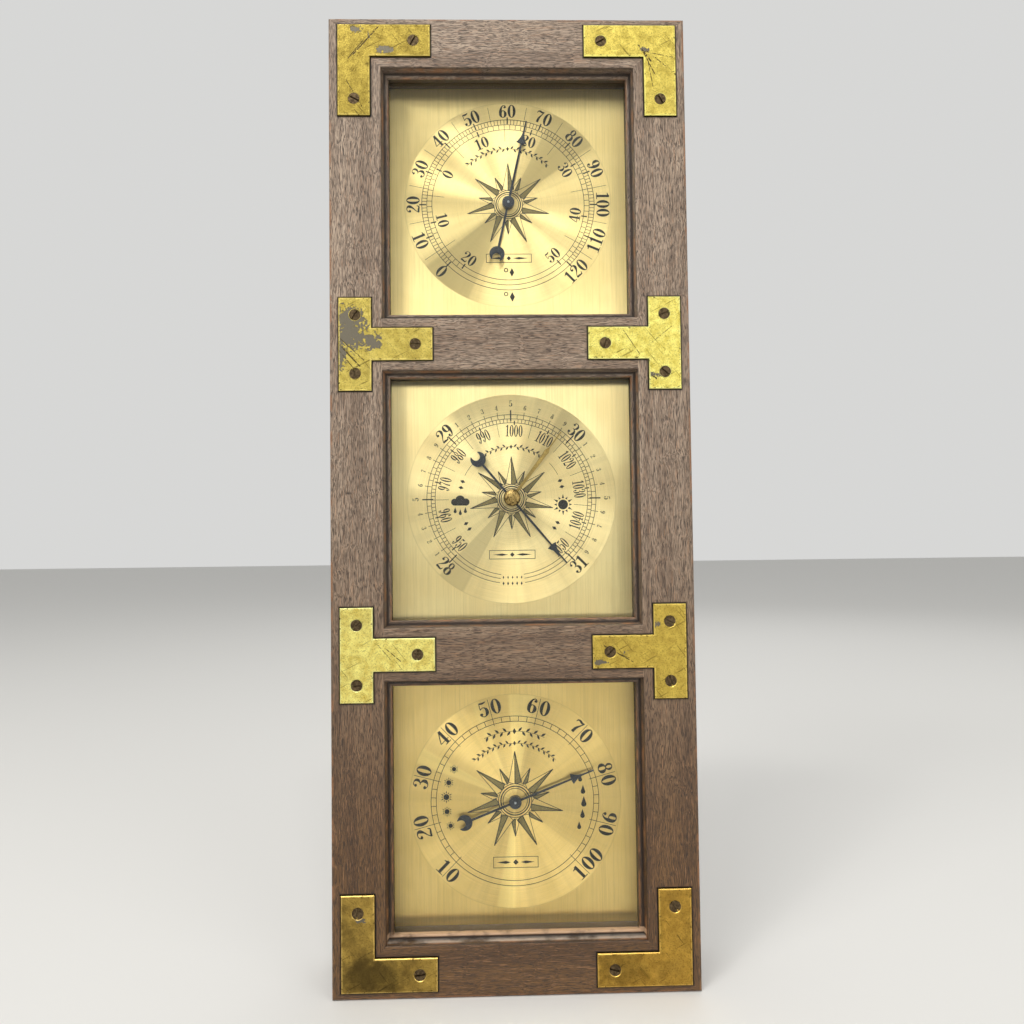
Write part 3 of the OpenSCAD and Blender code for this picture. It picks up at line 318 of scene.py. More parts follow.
def plate_arms(node):
    """The two arms of a corner or tee plate as boxes (left, low, right, high) in millimetres."""
    low, high = (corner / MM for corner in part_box(node))
    outer = (low.x, low.x + plate_width) if low.x < 0 else (high.x - plate_width, high.x)
    if "tee" in node:
        middle = (low.z + high.z) / 2
        level = (middle - plate_width / 2, middle + plate_width / 2)
    else:
        level = (high.z - plate_width, high.z) if "top" in node else (low.z, low.z + plate_width)
    return (outer[0], low.z, outer[1], high.z), (low.x, level[0], high.x, level[1])


def wood_grain(graph, along):
    """Colour of the unworn wood with a painted shade towards the bottom, then its bands, pores and finest
    fibres.
    """
    _, _, z = graph.split(graph.point)
    waver = graph.math("MULTIPLY_ADD", graph.noise(graph.point, 45, 2), 0.004, -0.002)
    bent = graph.vector("ADD", graph.point, graph.join(waver, waver, waver))
    stretch = [1.0, 1.0, 1.0]
    stretch[along] = 0.04
    grain = graph.times(bent, stretch)
    stretch[along] = 0.06
    fibres = graph.times(bent, stretch)
    bands = graph.noise(grain, 160, 4, 0.6)
    streaks = graph.step(graph.noise(grain, 2300, 3, 0.65), 0.42, 0.62)
    warm = graph.step(graph.noise(grain, 1900, 2, 0.6), 0.55, 0.7)
    pores = graph.step(graph.noise(fibres, 4000, 1, 0.5), 0.52, 0.62)
    fine = graph.noise(fibres, 4200, 2, 0.6)

    # Painted shade: the wood is painted a deeper, darker brown towards the bottom of the case, where less
    # light falls
    height = graph.math("DIVIDE", graph.minus(z, case_bottom * MM), (case_top - case_bottom) * MM)
    height = graph.step(height, 0.1, 0.6)
    light = graph.mix(height, srgb(112, 80, 44), srgb(173, 153, 133))
    dark = graph.mix(height, srgb(76, 50, 26), srgb(128, 108, 90))
    streak = graph.mix(height, srgb(70, 48, 28), srgb(76, 56, 43))
    fleck = graph.mix(height, srgb(146, 112, 74), srgb(178, 158, 138))

    colour = graph.mix(graph.step(bands, 0.25, 0.7), dark, light)
    colour = graph.tint(colour, streak, streaks, 0.66)
    colour = graph.tint(colour, srgb(176, 130, 92), warm, 0.35)
    colour = graph.tint(colour, srgb(42, 30, 22), pores, 0.8)
    colour = graph.tint(colour, fleck, graph.step(fine, 0.6, 0.7), 0.3)
    return colour, bands, pores, fine


def wood_wear(graph, colour, patches):
    """The colour with wear, soiling, painted shade and painted highlights along the edges of the windows
    and the case and round the plates.
    """
    x, y, z = graph.split(graph.point)
    edge = window_distance(graph, x, z)
    side = graph.minus(case_half * MM, graph.absolute(x))
    middle_z = (case_top + case_bottom) / 2 * MM
    end = graph.minus((case_top - case_bottom) / 2 * MM, graph.absolute(graph.minus(z, middle_z)))
    outer = graph.math("MINIMUM", side, end)

    def behind(low, high):
        """0 at low and 1 at high, in millimetres behind the wood's front."""
        return graph.step(y, (front_y + low) * MM, (front_y + high) * MM)

    def above_sill(low, high):
        """0 at low and 1 at high, in millimetres above the lower edge of the lowest window."""
        return graph.step(z, (sill_z + low) * MM, (sill_z + high) * MM)

    def line(inwards, wide, narrow):
        """A line along the windows' edges, this far inwards from them."""
        return graph.step(graph.absolute(graph.math("ADD", edge, inwards)), wide, narrow)

    at_front = behind(1.6, 0.6)
    in_window = graph.step(edge, 0.0, -0.0005)

    # Painted shade: the moulding, set back behind the face, is painted a little darker
    sunk_shade = graph.both(graph.step(edge, 0.0004, -0.0002), behind(0.3, 1.2))
    colour = graph.tint(colour, srgb(40, 27, 18), sunk_shade, 0.35)

    # Rubbed edges, then painted shade in the moulding's corners, deep in it by the glass and along the
    # window's front edge
    edge_wear = graph.both(line(0.0004, 0.0006, 0.0002), graph.step(patches, 0.45, 0.68))
    bead_wear = graph.both(line(0.0028, 0.0006, 0.0002), graph.step(patches, 0.42, 0.66))
    outer_wear = graph.both(graph.step(outer, 0.0016, 0.0006), at_front, graph.step(patches, 0.45, 0.6))
    wear = graph.either(edge_wear, bead_wear, outer_wear)
    colour = graph.tint(colour, srgb(150, 102, 64), wear, 0.65)
    corner = graph.both(line(0.0012, 0.0008, 0.0003), behind(2.0, 3.6))
    lip = graph.both(behind(5.2, 5.8), graph.step(edge, 0.0, -0.001))
    rim_line = graph.both(graph.step(graph.absolute(edge), 0.0004, 0.0001), at_front)
    crease_shade = graph.either(corner, lip, graph.math("MULTIPLY", rim_line, 0.7))
    colour = graph.tint(colour, srgb(28, 20, 15), crease_shade, 0.8)

    # The moulding and the bead below the lowest window are painted pale: partly dust and wear, partly a
    # painted highlight where light from above falls on them
    sill_dust_and_highlight = graph.both(above_sill(1.5, 0), above_sill(-3, -2), behind(1.2, 2.4),
                      graph.step(patches, 0.3, 0.6), in_window)
    colour = graph.tint(colour, srgb(200, 188, 174), sill_dust_and_highlight, 0.7)
    sill_lip_wear_and_highlight = graph.both(above_sill(4.6, 4.2), above_sill(1.9, 2.2), behind(7.6, 6.8),
                          in_window, graph.step(patches, 0.25, 0.5))
    colour = graph.tint(colour, srgb(208, 172, 138), sill_lip_wear_and_highlight, 0.7)

    # Painted shade in the gap round a plate that is let into the wood, and a painted shadow of the plate,
    # with some grime, on the wood beside it
    recess_shade = graph.both(behind(0.2, 0.5), behind(1.6, 1.4), graph.step(edge, 0.003, 0.004),
                        graph.step(outer, 0.0008, 0.0012))
    colour = graph.tint(colour, srgb(22, 16, 12), recess_shade, 0.95)
    # The left plates mirror the right ones, so x without its sign stands for both sides
    arms = [box for node in right_plates for box in plate_arms(node)]
    beside = inside_depth(graph, graph.absolute(x), z, arms)
    shadow_and_grime = graph.both(graph.step(beside, -0.0013, -0.0002), at_front)
    return graph.tint(colour, srgb(30, 22, 16), shadow_and_grime, 0.75)


def make_wood(name, along):
    """Wood with its grain along x, for 0, or along z, for 2."""
    graph = Graph(name)
    colour, bands, pores, fine = wood_grain(graph, along)
    patches = graph.noise(graph.point, 110, 3)
    colour = wood_wear(graph, colour, patches)
    relief = graph.minus(graph.math("MULTIPLY", bands, 0.3), graph.math("MULTIPLY", pores, 0.6))
    relief = graph.math("MULTIPLY_ADD", fine, 0.25, relief)
    rough = graph.math("MULTIPLY_ADD", patches, 0.25, 0.36)
    graph.surface(colour, Roughness=rough, Normal=graph.bump(relief, 0.0002, 0.7))
    return graph.material


# Brass plates

def hairlines(graph, degrees, scale, low):
    """Mask of many fine scratches that run at an angle across the front."""
    turned = graph.add("ShaderNodeVectorRotate", {
        "Vector": graph.point, "Angle": math.radians(degrees)}, rotation_type="Y_AXIS").outputs[0]
    lines = graph.noise(graph.times(turned, (1.0, 1.0, 0.03)), scale, 1, 0.5)
    return graph.step(lines, low, low + 0.03)


def make_brass(node, low, high, stain, bare, marks=(), scuffs=(), shades=()):
    """Lacquered brass: low and high are its colours, stain its dark tarnish, bare its lost plating.

    Marks are scratches, scuffs places worn bare and shades soft dark clouds laid over the colour.
    """
    graph = Graph(node + "_brass")
    x, y, z = graph.split(graph.point)
    dark = srgb(*(round(c * 0.62) for c in low))
    rubbed_highlight = srgb(*(min(255, c + 26) for c in high))
    clouds = graph.noise(graph.point, 230, 4, 0.65)
    grains = graph.noise(graph.point, 1400, 2, 0.6)
    fine = graph.noise(graph.times(graph.point, (1.0, 1.0, 0.25)), 2600, 2, 0.6)
    colour = graph.mix(graph.step(clouds, 0.2, 0.8), srgb(*low), srgb(*high))
    colour = graph.tint(colour, dark, graph.step(grains, 0.48, 0.68), 0.45)
    hairs = graph.either(hairlines(graph, 38, 1300, 0.68), hairlines(graph, -63, 1100, 0.69))
    hairs = graph.both(hairs, graph.step(graph.noise(graph.point, 120, 2), 0.4, 0.54))
    colour = graph.tint(colour, dark, hairs, 0.8)

    # More stain or lost plating lowers the threshold above which the noise shows it
    tarnish = graph.step(graph.noise(graph.point, 55, 5, 0.65), 0.62 - stain / 2, 0.9 - stain / 2)
    colour = graph.tint(colour, srgb(92, 72, 34), tarnish, stain)
    for centre, size, strength in shades:
        colour = graph.tint(colour, srgb(58, 46, 20), cloud_mask(graph, centre, size), strength)
    worn = graph.noise(graph.times(graph.point, (1.0, 1.0, 0.8)), 130, 5, 0.7, 0.6)
    worn = graph.step(worn, 0.72 - bare / 2, 0.75 - bare / 2)
    for centre, size in scuffs:
        worn = graph.either(worn, patch(graph, centre, size))
    colour = graph.mix(worn, colour, srgb(112, 106, 92))
    dents = worn
    if marks:
        broken = graph.step(graph.noise(graph.point, 900, 2), 0.35, 0.5)
        scratches = graph.both(graph.either(*(scratch(graph, *mark) for mark in marks)), broken)
        colour = graph.mix(scratches, colour, srgb(78, 66, 44))
        dents = graph.either(worn, scratches)

    # Painted highlight, partly rubbed brass, along the chamfer and the edge of the face; dark in nicks, and
    # painted shade down the walls
    chamfer = graph.step(y, (plate_front + 0.02) * MM, (plate_front + 0.1) * MM)
    colour = graph.tint(colour, rubbed_highlight, chamfer, 0.7)
    inside = inside_depth(graph, x, z, plate_arms(node))
    face_edge = graph.both(graph.step(inside, 0.0009, 0.0005), graph.step(clouds, 0.35, 0.55))
    colour = graph.tint(colour, rubbed_highlight, face_edge, 0.6)
    rim = graph.step(inside, 0.0014, 0.0006)
    nicks = graph.both(rim, graph.step(graph.noise(graph.point, 750, 3), 0.6, 0.66))
    wall_shade = graph.step(y, (plate_front + 0.3) * MM, (plate_front + 0.5) * MM)
    colour = graph.tint(colour, srgb(62, 46, 20), graph.either(nicks, wall_shade), 0.8)

    rough = graph.math("MULTIPLY_ADD", clouds, 0.3, 0.19)
    rough = graph.math("ADD", rough, graph.math("MULTIPLY", worn, 0.2))
    relief = graph.math("MULTIPLY_ADD", grains, 0.5, graph.math("MULTIPLY", fine, 0.35))
    relief = graph.minus(graph.math("MULTIPLY_ADD", clouds, 0.5, relief), dents)
    graph.surface(colour, Metallic=0.88, Roughness=rough, Normal=graph.bump(relief, 0.0003, 0.65))
    return graph.material


# Metals of the screws, hands, knob and movement

def make_metal(name, colour, rough, second, scale=700, depth=0.00003, metallic=1.0):
    """Metal clouded between two colours, with fine bumps. Plain dowels and strips are not metallic."""
    graph = Graph(name)
    clouds = graph.noise(graph.point, scale, 3, 0.6)
    fine = graph.noise(graph.point, scale * 5, 2, 0.6)
    base = graph.mix(graph.step(clouds, 0.35, 0.7), srgb(*colour), srgb(*second))
    shine = graph.math("MULTIPLY_ADD", clouds, 0.2, rough - 0.1)
    graph.surface(base, Metallic=metallic, Roughness=shine, Normal=graph.bump(fine, depth, 0.5))
    return graph.material


def from_centre(graph, dial):
    """The vector across the front from a dial's centre to the point."""
    x, _, z = graph.split(graph.point)
    centre = dial_centres[dial]
    return graph.vector("SUBTRACT", graph.join(x, 0.0, z), (centre.x * MM, 0.0, centre.z * MM))


def make_knob_brass():
    graph = Graph("knob_brass")
    radius = graph.vector("LENGTH", from_centre(graph, "barometer"))
    brushed = graph.noise(graph.times(graph.point, (1.0, 1.0, 0.12)), 2600, 3, 0.7)
    stains = graph.noise(graph.point, 480, 3, 0.6)
    rim = graph.step(graph.math("MULTIPLY_ADD", stains, 0.0022, radius), 0.0042, 0.0054)
    colour = graph.mix(graph.step(brushed, 0.35, 0.65), srgb(110, 90, 50), srgb(192, 166, 104))
    colour = graph.mix(graph.step(stains, 0.5, 0.62), colour, srgb(78, 60, 32))
    colour = graph.mix(rim, colour, srgb(48, 32, 16))
    graph.surface(colour, Metallic=0.9, Roughness=0.42, Normal=graph.bump(brushed, 0.00006, 0.6))
    return graph.material


# Gold dials: a spun disc on a plate brushed upright

def fan(graph, clock, middle, half_width):
    """Mask of a wedge of the disc for a painted reflection, round a clockwise angle from straight up in
    degrees.
    """
    soft = 1.2
    off = graph.math("WRAP", graph.minus(clock, math.radians(middle)), math.pi, -math.pi)
    return graph.step(graph.absolute(off), math.radians(half_width + soft), math.radians(half_width - soft))


def make_dial(name, low, high, painted_fans):
    """Gold between two colours, with painted reflection wedges (middle, half width, strength) on the spun
    disc.

    A fan is a painted reflection: a lighter wedge where its strength is above 0 and a darker one where it
    is below.
    """
    graph = Graph(name + "_gold")
    dark = srgb(*(round(c * 0.75) for c in low))
    light = srgb(*(min(255, round(c * 1.08)) for c in high))
    away = from_centre(graph, name)
    outwards = graph.vector("NORMALIZE", away)
    radius = graph.vector("LENGTH", away)
    away_x, _, away_z = graph.split(away)
    angle = graph.math("ARCTAN2", away_z, away_x)
    clock = graph.minus(math.pi / 2, angle)
    on_disc = graph.math("LESS_THAN", radius, disc_radius * MM)

    # Fine and wide brush lines: rings on the disc, upright lines beside it
    turned = graph.join(graph.math("MULTIPLY", radius, 6000.0), graph.math("MULTIPLY", angle, 3.0))
    rings = graph.noise(turned, 1, 2, 0.6)
    lines = graph.noise(graph.times(graph.point, (1.0, 0.0, 0.012)), 5000, 2, 0.6)
    brush = graph.blend(on_disc, lines, rings)
    wide_rings = graph.noise(graph.join(graph.math("MULTIPLY", radius, 1300.0)), 1, 3, 0.7)
    wide_lines = graph.noise(graph.times(graph.point, (1.0, 0.0, 0.01)), 1300, 3, 0.7)
    wide = graph.blend(on_disc, wide_lines, wide_rings)

    clouds = graph.noise(graph.point, 35, 3)
    colour = graph.mix(graph.step(clouds, 0.3, 0.7), srgb(*low), srgb(*high))
    colour = graph.tint(colour, dark, graph.step(brush, 0.4, 0.75), 0.2)
    colour = graph.tint(colour, dark, graph.step(wide, 0.4, 0.75), 0.25)
    # Painted reflections: lighter and darker wedges laid on the disc's colour
    for middle, half_width, strength in painted_fans:
        wedge = graph.both(on_disc, fan(graph, clock, middle, half_width))
        colour = graph.tint(colour, light if strength > 0 else dark, wedge, abs(strength))
    rays = graph.both(on_disc, graph.step(graph.noise(outwards, 9, 4, 0.7), 0.45, 0.65))
    colour = graph.tint(colour, dark, rays, 0.16)
    rim = graph.absolute(graph.minus(radius, disc_radius * MM))
    colour = graph.tint(colour, dark, graph.step(rim, 0.0003, 0.0001), 0.3)

    rough = graph.math("MULTIPLY_ADD", brush, 0.08, 0.33)
    spread = graph.mix(on_disc, (1.0, 0.0, 0.0, 1.0), outwards)
    graph.surface(colour, Metallic=0.85, Roughness=rough, Anisotropic=1.0, Tangent=spread,
                  Normal=graph.bump(brush, 0.000012, 0.5))
    return graph.material


def make_glass():
    """Clear glass that lets the lamps' light through to the dials."""
    graph = Graph("window_glass")
    glass = graph.add("ShaderNodeBsdfGlass", {
        "Color": (0.98, 0.995, 0.985, 1), "Roughness": 0.0, "IOR": 1.3})
    clear = graph.add("ShaderNodeBsdfTransparent", {"Color": (0.95, 0.96, 0.955, 1)})
    path = graph.add("ShaderNodeLightPath")
    mixed = graph.add("ShaderNodeMixShader", {
        0: path.outputs["Is Shadow Ray"], 1: glass.outputs[0], 2: clear.outputs[0]})
    graph.output(mixed.outputs[0])
    return graph.material


def make_board():
    """Pressed brown board: felted fibres and a slight sheen."""
    graph = Graph("back_board")
    fibres = graph.noise(graph.point, 1300, 4, 0.7, 0.8)
    blotches = graph.noise(graph.point, 60, 3)
    colour = graph.mix(graph.step(fibres, 0.35, 0.7), srgb(92, 64, 44), srgb(126, 92, 64))
    colour = graph.tint(colour, srgb(78, 54, 38), graph.step(blotches, 0.4, 0.7), 0.4)
    graph.surface(colour, Roughness=0.6, Normal=graph.bump(fibres, 0.0002, 0.5))
    return graph.material


def make_card():
    graph = Graph("spacer_card")
    fibres = graph.noise(graph.point, 1800, 3, 0.7)
    colour = graph.mix(fibres, srgb(60, 50, 40), srgb(84, 72, 58))
    graph.surface(colour, Roughness=0.85, Normal=graph.bump(fibres, 0.0001, 0.4))
    return graph.material


def make_ink(name, colour, rough=0.5):
    graph = Graph(name)
    specks = graph.noise(graph.point, 2500, 2)
    tint = tuple(c * 1.6 + 0.01 for c in srgb(*colour)[:3]) + (1.0,)
    graph.surface(graph.mix(graph.step(specks, 0.45, 0.75), srgb(*colour), tint), Roughness=rough,
                  Specular_IOR_Level=0.2)
    return graph.material


# Flat ink shapes: polygons of points [x, z] in millimetres, with z up

def around(radius, degrees):
    """The point at a radius, clockwise from straight up."""
    a = math.radians(degrees)
    return (radius * math.sin(a), radius * math.cos(a))


def placed(shapes, centre=(0, 0), degrees=0, scale=1):
    """The shapes scaled, turned clockwise and moved."""
    a = math.radians(degrees)
    moved = []
    for shape in shapes:
        points = [(x * scale, z * scale) for x, z in shape]
        moved.append([(centre[0] + x * math.cos(a) + z * math.sin(a),
                       centre[1] - x * math.sin(a) + z * math.cos(a)) for x, z in points])
    return moved


def ring(radius, width, start=0, end=360):
    steps = max(8, int(abs(end - start) / 2))
    turns = [start + (end - start) * i / steps for i in range(steps + 1)]
    inner, outer = radius - width / 2, radius + width / 2
    return [[around(inner, a), around(outer, a), around(outer, b), around(inner, b)]
            for a, b in zip(turns, turns[1:])]


def spoke(degrees, inner, outer, width):
    return placed([[(-width / 2, inner), (width / 2, inner), (width / 2, outer), (-width / 2, outer)]],
                  degrees=degrees)


def bar(left, low, right, high):
    return [[(left, low), (right, low), (right, high), (left, high)]]


def ball(x, z, radius):
    steps = 20
    turns = [2 * math.pi * i / steps for i in range(steps)]
    return [[(x + radius * math.cos(a), z + radius * math.sin(a)) for a in turns]]


def strip(path, closed=False):
    """Quads along a path of (x, z, width)."""
    count = len(path)
    sides = []
    for i, (x, z, width) in enumerate(path):
        before = path[i - 1] if closed or i else path[i]
        after = path[(i + 1) % count] if closed or i < count - 1 else path[i]
        along = Vector((after[0] - before[0], after[1] - before[1])).normalized()
        side = Vector((-along.y, along.x)) * width / 2
        sides.append(((x - side.x, z - side.y), (x + side.x, z + side.y)))
    pairs = zip(sides, sides[1:] + sides[:1] if closed else sides[1:])
    return [[a[0], b[0], b[1], a[1]] for a, b in pairs]


def loop(x, z, wide, high, side, top):
    """An oval whose stroke is heavy at its sides and light at its top and bottom."""
    steps = 36
    path = []
    for i in range(steps):
        a = 2 * math.pi * i / steps
        heavy = abs(math.cos(a)) ** 1.7
        path.append((x + wide * math.cos(a), z + high * math.sin(a), top + (side - top) * heavy))
    return strip(path, closed=True)


def stroke(*points):
    """A smooth stroke through points of (x, z, width)."""
    ends = [points[0], *points, points[-1]]
    path = []
    for a, b, c, d in zip(ends, ends[1:], ends[2:], ends[3:]):
        for i in range(6):
            t = i / 6
            path.append(tuple(
                0.5 * (2 * q + (r - p) * t + (2 * p - 5 * q + 4 * r - s) * t * t
                       + (3 * q - p - 3 * r + s) * t ** 3)
                for p, q, r, s in zip(a, b, c, d)))
    return strip(path + [points[-1]])


def merged(shapes):
    """Points and triangles of the shapes' union."""
    points, faces = [], []
    for shape in shapes:
        area = sum(a[0] * b[1] - b[0] * a[1] for a, b in zip(shape, shape[1:] + shape[:1]))
        if abs(area) < 1e-9:
            continue
        ordered = shape if area > 0 else shape[::-1]
        faces.append(list(range(len(points), len(points) + len(ordered))))
        points.extend(Vector(p) for p in ordered)
    found = delaunay_2d_cdt(points, [], faces, 1, 1e-6)
    covered = [tuple(face) for face, sources in zip(found[2], found[5]) if sources]
    return [tuple(p) for p in found[0]], covered


# Numerals with heavy stems, hairlines and ball ends, one high and standing on z = 0
hair = 0.055
stem = 0.17
six = [*loop(0.01, 0.285, 0.155, 0.26, stem, hair),
       *stroke((-0.145, 0.28, stem), (-0.145, 0.50, stem), (-0.08, 0.80, 0.10), (0.05, 0.96, hair),
               (0.15, 0.90, hair), (0.17, 0.82, hair)),
       *ball(0.125, 0.81, 0.08)]
numeral_shapes = {
    "0": loop(0, 0.5, 0.17, 0.475, stem, hair),
    "1": [*bar(-0.06, 0, 0.09, 0.98), *bar(-0.19, 0, 0.22, hair),
          *stroke((0.05, 0.98, 0.03), (-0.06, 0.87, 0.09), (-0.19, 0.84, 0.05))],
    "2": [*stroke((-0.19, 0.72, hair), (-0.15, 0.89, hair), (0, 0.975, hair), (0.14, 0.90, 0.12),
                  (0.155, 0.73, stem), (0.07, 0.52, 0.10), (-0.09, 0.30, hair), (-0.20, 0.08, hair)),
          *stroke((-0.21, 0.05, 0.08), (-0.08, 0.085, 0.14), (0.07, 0.06, 0.12), (0.17, 0.07, 0.08),
                  (0.22, 0.23, 0.035)),
          *ball(-0.14, 0.73, 0.085)],
    "3": [*stroke((-0.17, 0.80, hair), (-0.10, 0.95, hair), (0.02, 0.975, hair), (0.13, 0.87, 0.12),
                  (0.13, 0.68, 0.13), (0.03, 0.55, hair), (-0.07, 0.535, 0.035)),
          *stroke((-0.07, 0.525, 0.035), (0.04, 0.52, hair), (0.155, 0.40, 0.13), (0.16, 0.20, stem),
                  (0.06, 0.05, 0.07), (-0.05, 0.03, hair), (-0.18, 0.13, hair)),
          *ball(-0.135, 0.80, 0.075), *ball(-0.14, 0.19, 0.085)],
    "4": [*stroke((0.08, 0.99, 0.04), (-0.09, 0.63, 0.06), (-0.25, 0.28, 0.045)),
          *bar(-0.26, 0.235, 0.25, 0.235 + hair), *bar(0.015, 0.02, 0.16, 0.99),
          *bar(-0.08, 0, 0.25, hair)],
    "5": [*stroke((-0.16, 0.93, 0.09), (-0.02, 0.91, 0.13), (0.10, 0.93, 0.10), (0.20, 0.985, 0.03)),
          *bar(-0.17, 0.52, -0.13, 0.93),
          *stroke((-0.15, 0.50, 0.04), (-0.06, 0.60, hair), (0.05, 0.61, 0.06), (0.155, 0.47, 0.14),
                  (0.16, 0.22, stem), (0.06, 0.05, 0.07), (-0.05, 0.03, hair), (-0.18, 0.13, hair)),
          *ball(-0.14, 0.20, 0.085)],
    "6": six,
    "7": [*stroke((-0.20, 0.74, 0.035), (-0.18, 0.88, 0.07), (-0.06, 0.93, 0.14), (0.08, 0.89, 0.13),
                  (0.20, 0.97, 0.04)),
          *stroke((0.20, 0.95, 0.05), (0.10, 0.68, 0.07), (0.00, 0.38, 0.13), (-0.02, 0.05, 0.16))],
    "8": [*loop(0, 0.75, 0.125, 0.21, 0.11, hair), *loop(0, 0.28, 0.165, 0.25, stem, hair)],
    "9": placed(six, (0, 1), 180),
}
numerals = {digit: merged(shapes) for digit, shapes in numeral_shapes.items()}
advance = {digit: 0.50 if digit == "1" else 0.56 for digit in numerals}


class Print:
    """The ink on one dial, gathered into one flat mesh."""

    def __init__(self, centre, lift):
        self.centre = centre
        self.y = centre.y - lift
        self.points = []
        self.faces = []

    def add(self, points, faces):
        start = len(self.points)
        self.points += points
        self.faces += [tuple(start + i for i in face) for face in faces]

    def shapes(self, shapes):
        self.add(*merged(shapes))

    def number(self, value, degrees, radius, height, stretch, flip_past, split=0.0):
        """Digits side by side at an angle clockwise from straight up, with their tops outwards.

        Further round than flip_past, to either side, their tops are inwards. split opens a gap
        after the first digit.
        """
        text = str(value)
        sizes = [advance[digit] * height * stretch for digit in text]
        x = -sum(sizes) / 2 if not split else -sizes[0] - split / 2
        for i, digit in enumerate(text):
            x += split if split and i == 1 else 0
            points, faces = numerals[digit]
            local = [((px * stretch) * height + x + sizes[i] / 2, (pz - 0.5) * height) for px, pz in points]
            if abs(degrees) > flip_past:
                local = [(-px, -pz) for px, pz in local]
            local = [(px, pz + radius) for px, pz in local]
            self.add(placed([local], degrees=degrees)[0], faces)
            x += sizes[i]

    def finish(self, name, material):
        mesh = bpy.data.meshes.new(name)
        mesh.from_pydata([((self.centre.x + x) * MM, self.y * MM, (self.centre.z + z) * MM)
                          for x, z in self.points], [], self.faces)
        mesh.materials.append(material)
        piece = bpy.data.objects.new(name, mesh)
        bpy.context.scene.collection.objects.link(piece)
        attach(piece, "case")


# The rose in the middle of each dial: seven long and seven short points round a hub of rings
rose_long = 25
rose_short = 18
rose_hub = 8.5
rose_points = 7


def rose_point(tip, wide, shoulder, root):
    """The shade of a point's right half, then the ink of its outlines."""
    shade = [[(0, root), (wide * 0.25, root), (wide, shoulder), (0, tip)]]
    ink = [*strip([(0, root, 0.50), (0, tip, 0.40)]),
           *strip([(wide, shoulder, 0.46), (0.02, tip, 0.44)]),
           *strip([(wide * 0.25, root, 0.40), (wide, shoulder, 0.40)]),
           *strip([(-wide, shoulder, 0.30), (0, tip, 0.30)]),
           *strip([(-wide * 0.25, root, 0.30), (-wide, shoulder, 0.30)])]
    return shade, ink


def make_rose(size):
    """Shades and ink of a rose whose long points reach this far."""
    scale = size / rose_long
    kinds = ((0, rose_point(rose_long, 3.2, 9.3, rose_hub)),
             (180 / rose_points, rose_point(rose_short, 1.8, 11.2, rose_hub + 0.6)))
    shades, inks = [], []
    for i in range(rose_points):
        for offset, (shade, ink) in kinds:
            turn = 360 * i / rose_points + offset
            shades += placed(shade, degrees=turn, scale=scale)
            inks += placed(ink, degrees=turn, scale=scale)
    for radius, width in ((rose_hub, 0.38), (7.3, 0.6), (6.2, 0.36)):
        inks += ring(radius * scale, width)
    return shades, inks


# Plain ornaments

def lozenge(wide, high):
    return [[(-wide / 2, 0), (0, -high / 2), (wide / 2, 0), (0, high / 2)]]


def garland(radius, start, end, size):
    """A stem along an arc, with leaves on both sides that lean away from its middle."""
    middle = (start + end) / 2
    shapes = [*ring(radius, 0.2, start, end),
              *placed(lozenge(size * 0.5, size * 0.8), around(radius, middle), middle)]
    leaf = [(0, 0), (size * 0.22, size * 0.13), (size * 0.42, size * 0.15), (size * 0.75, 0),
            (size * 0.42, -size * 0.15), (size * 0.22, -size * 0.13)]
    count = round(math.radians(end - middle) * radius / (size * 0.52))
    for i in range(1, count):
        turn = (end - middle) * i / count
        for side in (-1, 1):
            a = middle + side * turn
            lean = 48 if i % 2 == 0 else -48
            shapes += placed(placed([leaf], degrees=lean), around(radius, a), a if side > 0 else a + 180)
    return shapes


def flourish(wide, high):
    """A framed plate with a lozenge between two tapering bars."""
    edge = 0.3
    shapes = [*bar(-wide / 2, -high / 2, wide / 2, -high / 2 + edge),
              *bar(-wide / 2, high / 2 - edge, wide / 2, high / 2),
              *bar(-wide / 2, -high / 2, -wide / 2 + edge, high / 2),
              *bar(wide / 2 - edge, -high / 2, wide / 2, high / 2),
              *lozenge(high * 0.5, high * 0.5)]
    for side in (-1, 1):
        shapes += [[(side * high * 0.45, 0), (side * wide * 0.22, high * 0.13),
                    (side * wide * 0.42, 0), (side * wide * 0.22, -high * 0.13)]]
    return shapes


def sun(size):
    shapes = ball(0, 0, size * 0.23)
    for i in range(12):
        long = size * (0.5 if i % 2 == 0 else 0.42)
        ray = [[(-size * 0.055, size * 0.29), (size * 0.055, size * 0.29), (0, long)]]
        shapes += placed(ray, degrees=30 * i)
    return shapes


def drop(size):
    low = -size * 0.2
    radius = size * 0.24
    shape = [(radius * math.sin(math.radians(a)), low - radius * math.cos(math.radians(a)))
             for a in range(-120, 121, 15)]
    return [shape + [(0, size * 0.5)]]


def cloud(size):
    return [*ball(-size * 0.26, 0, size * 0.16), *ball(0, size * 0.09, size * 0.22),
            *ball(size * 0.26, 0, size * 0.17), *bar(-size * 0.3, -size * 0.16, size * 0.3, 0)]


# The prints, in millimetres and in degrees clockwise from straight up

scale_start = -135


def start_prints(dial):
    """Empty prints for the ink on a dial and for its rose's shading."""
    centre = dial_centres[dial].copy()
    centre.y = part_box(dial + "_dial")[0].y / MM
    return Print(centre, ink_lift), Print(centre, shade_lift)


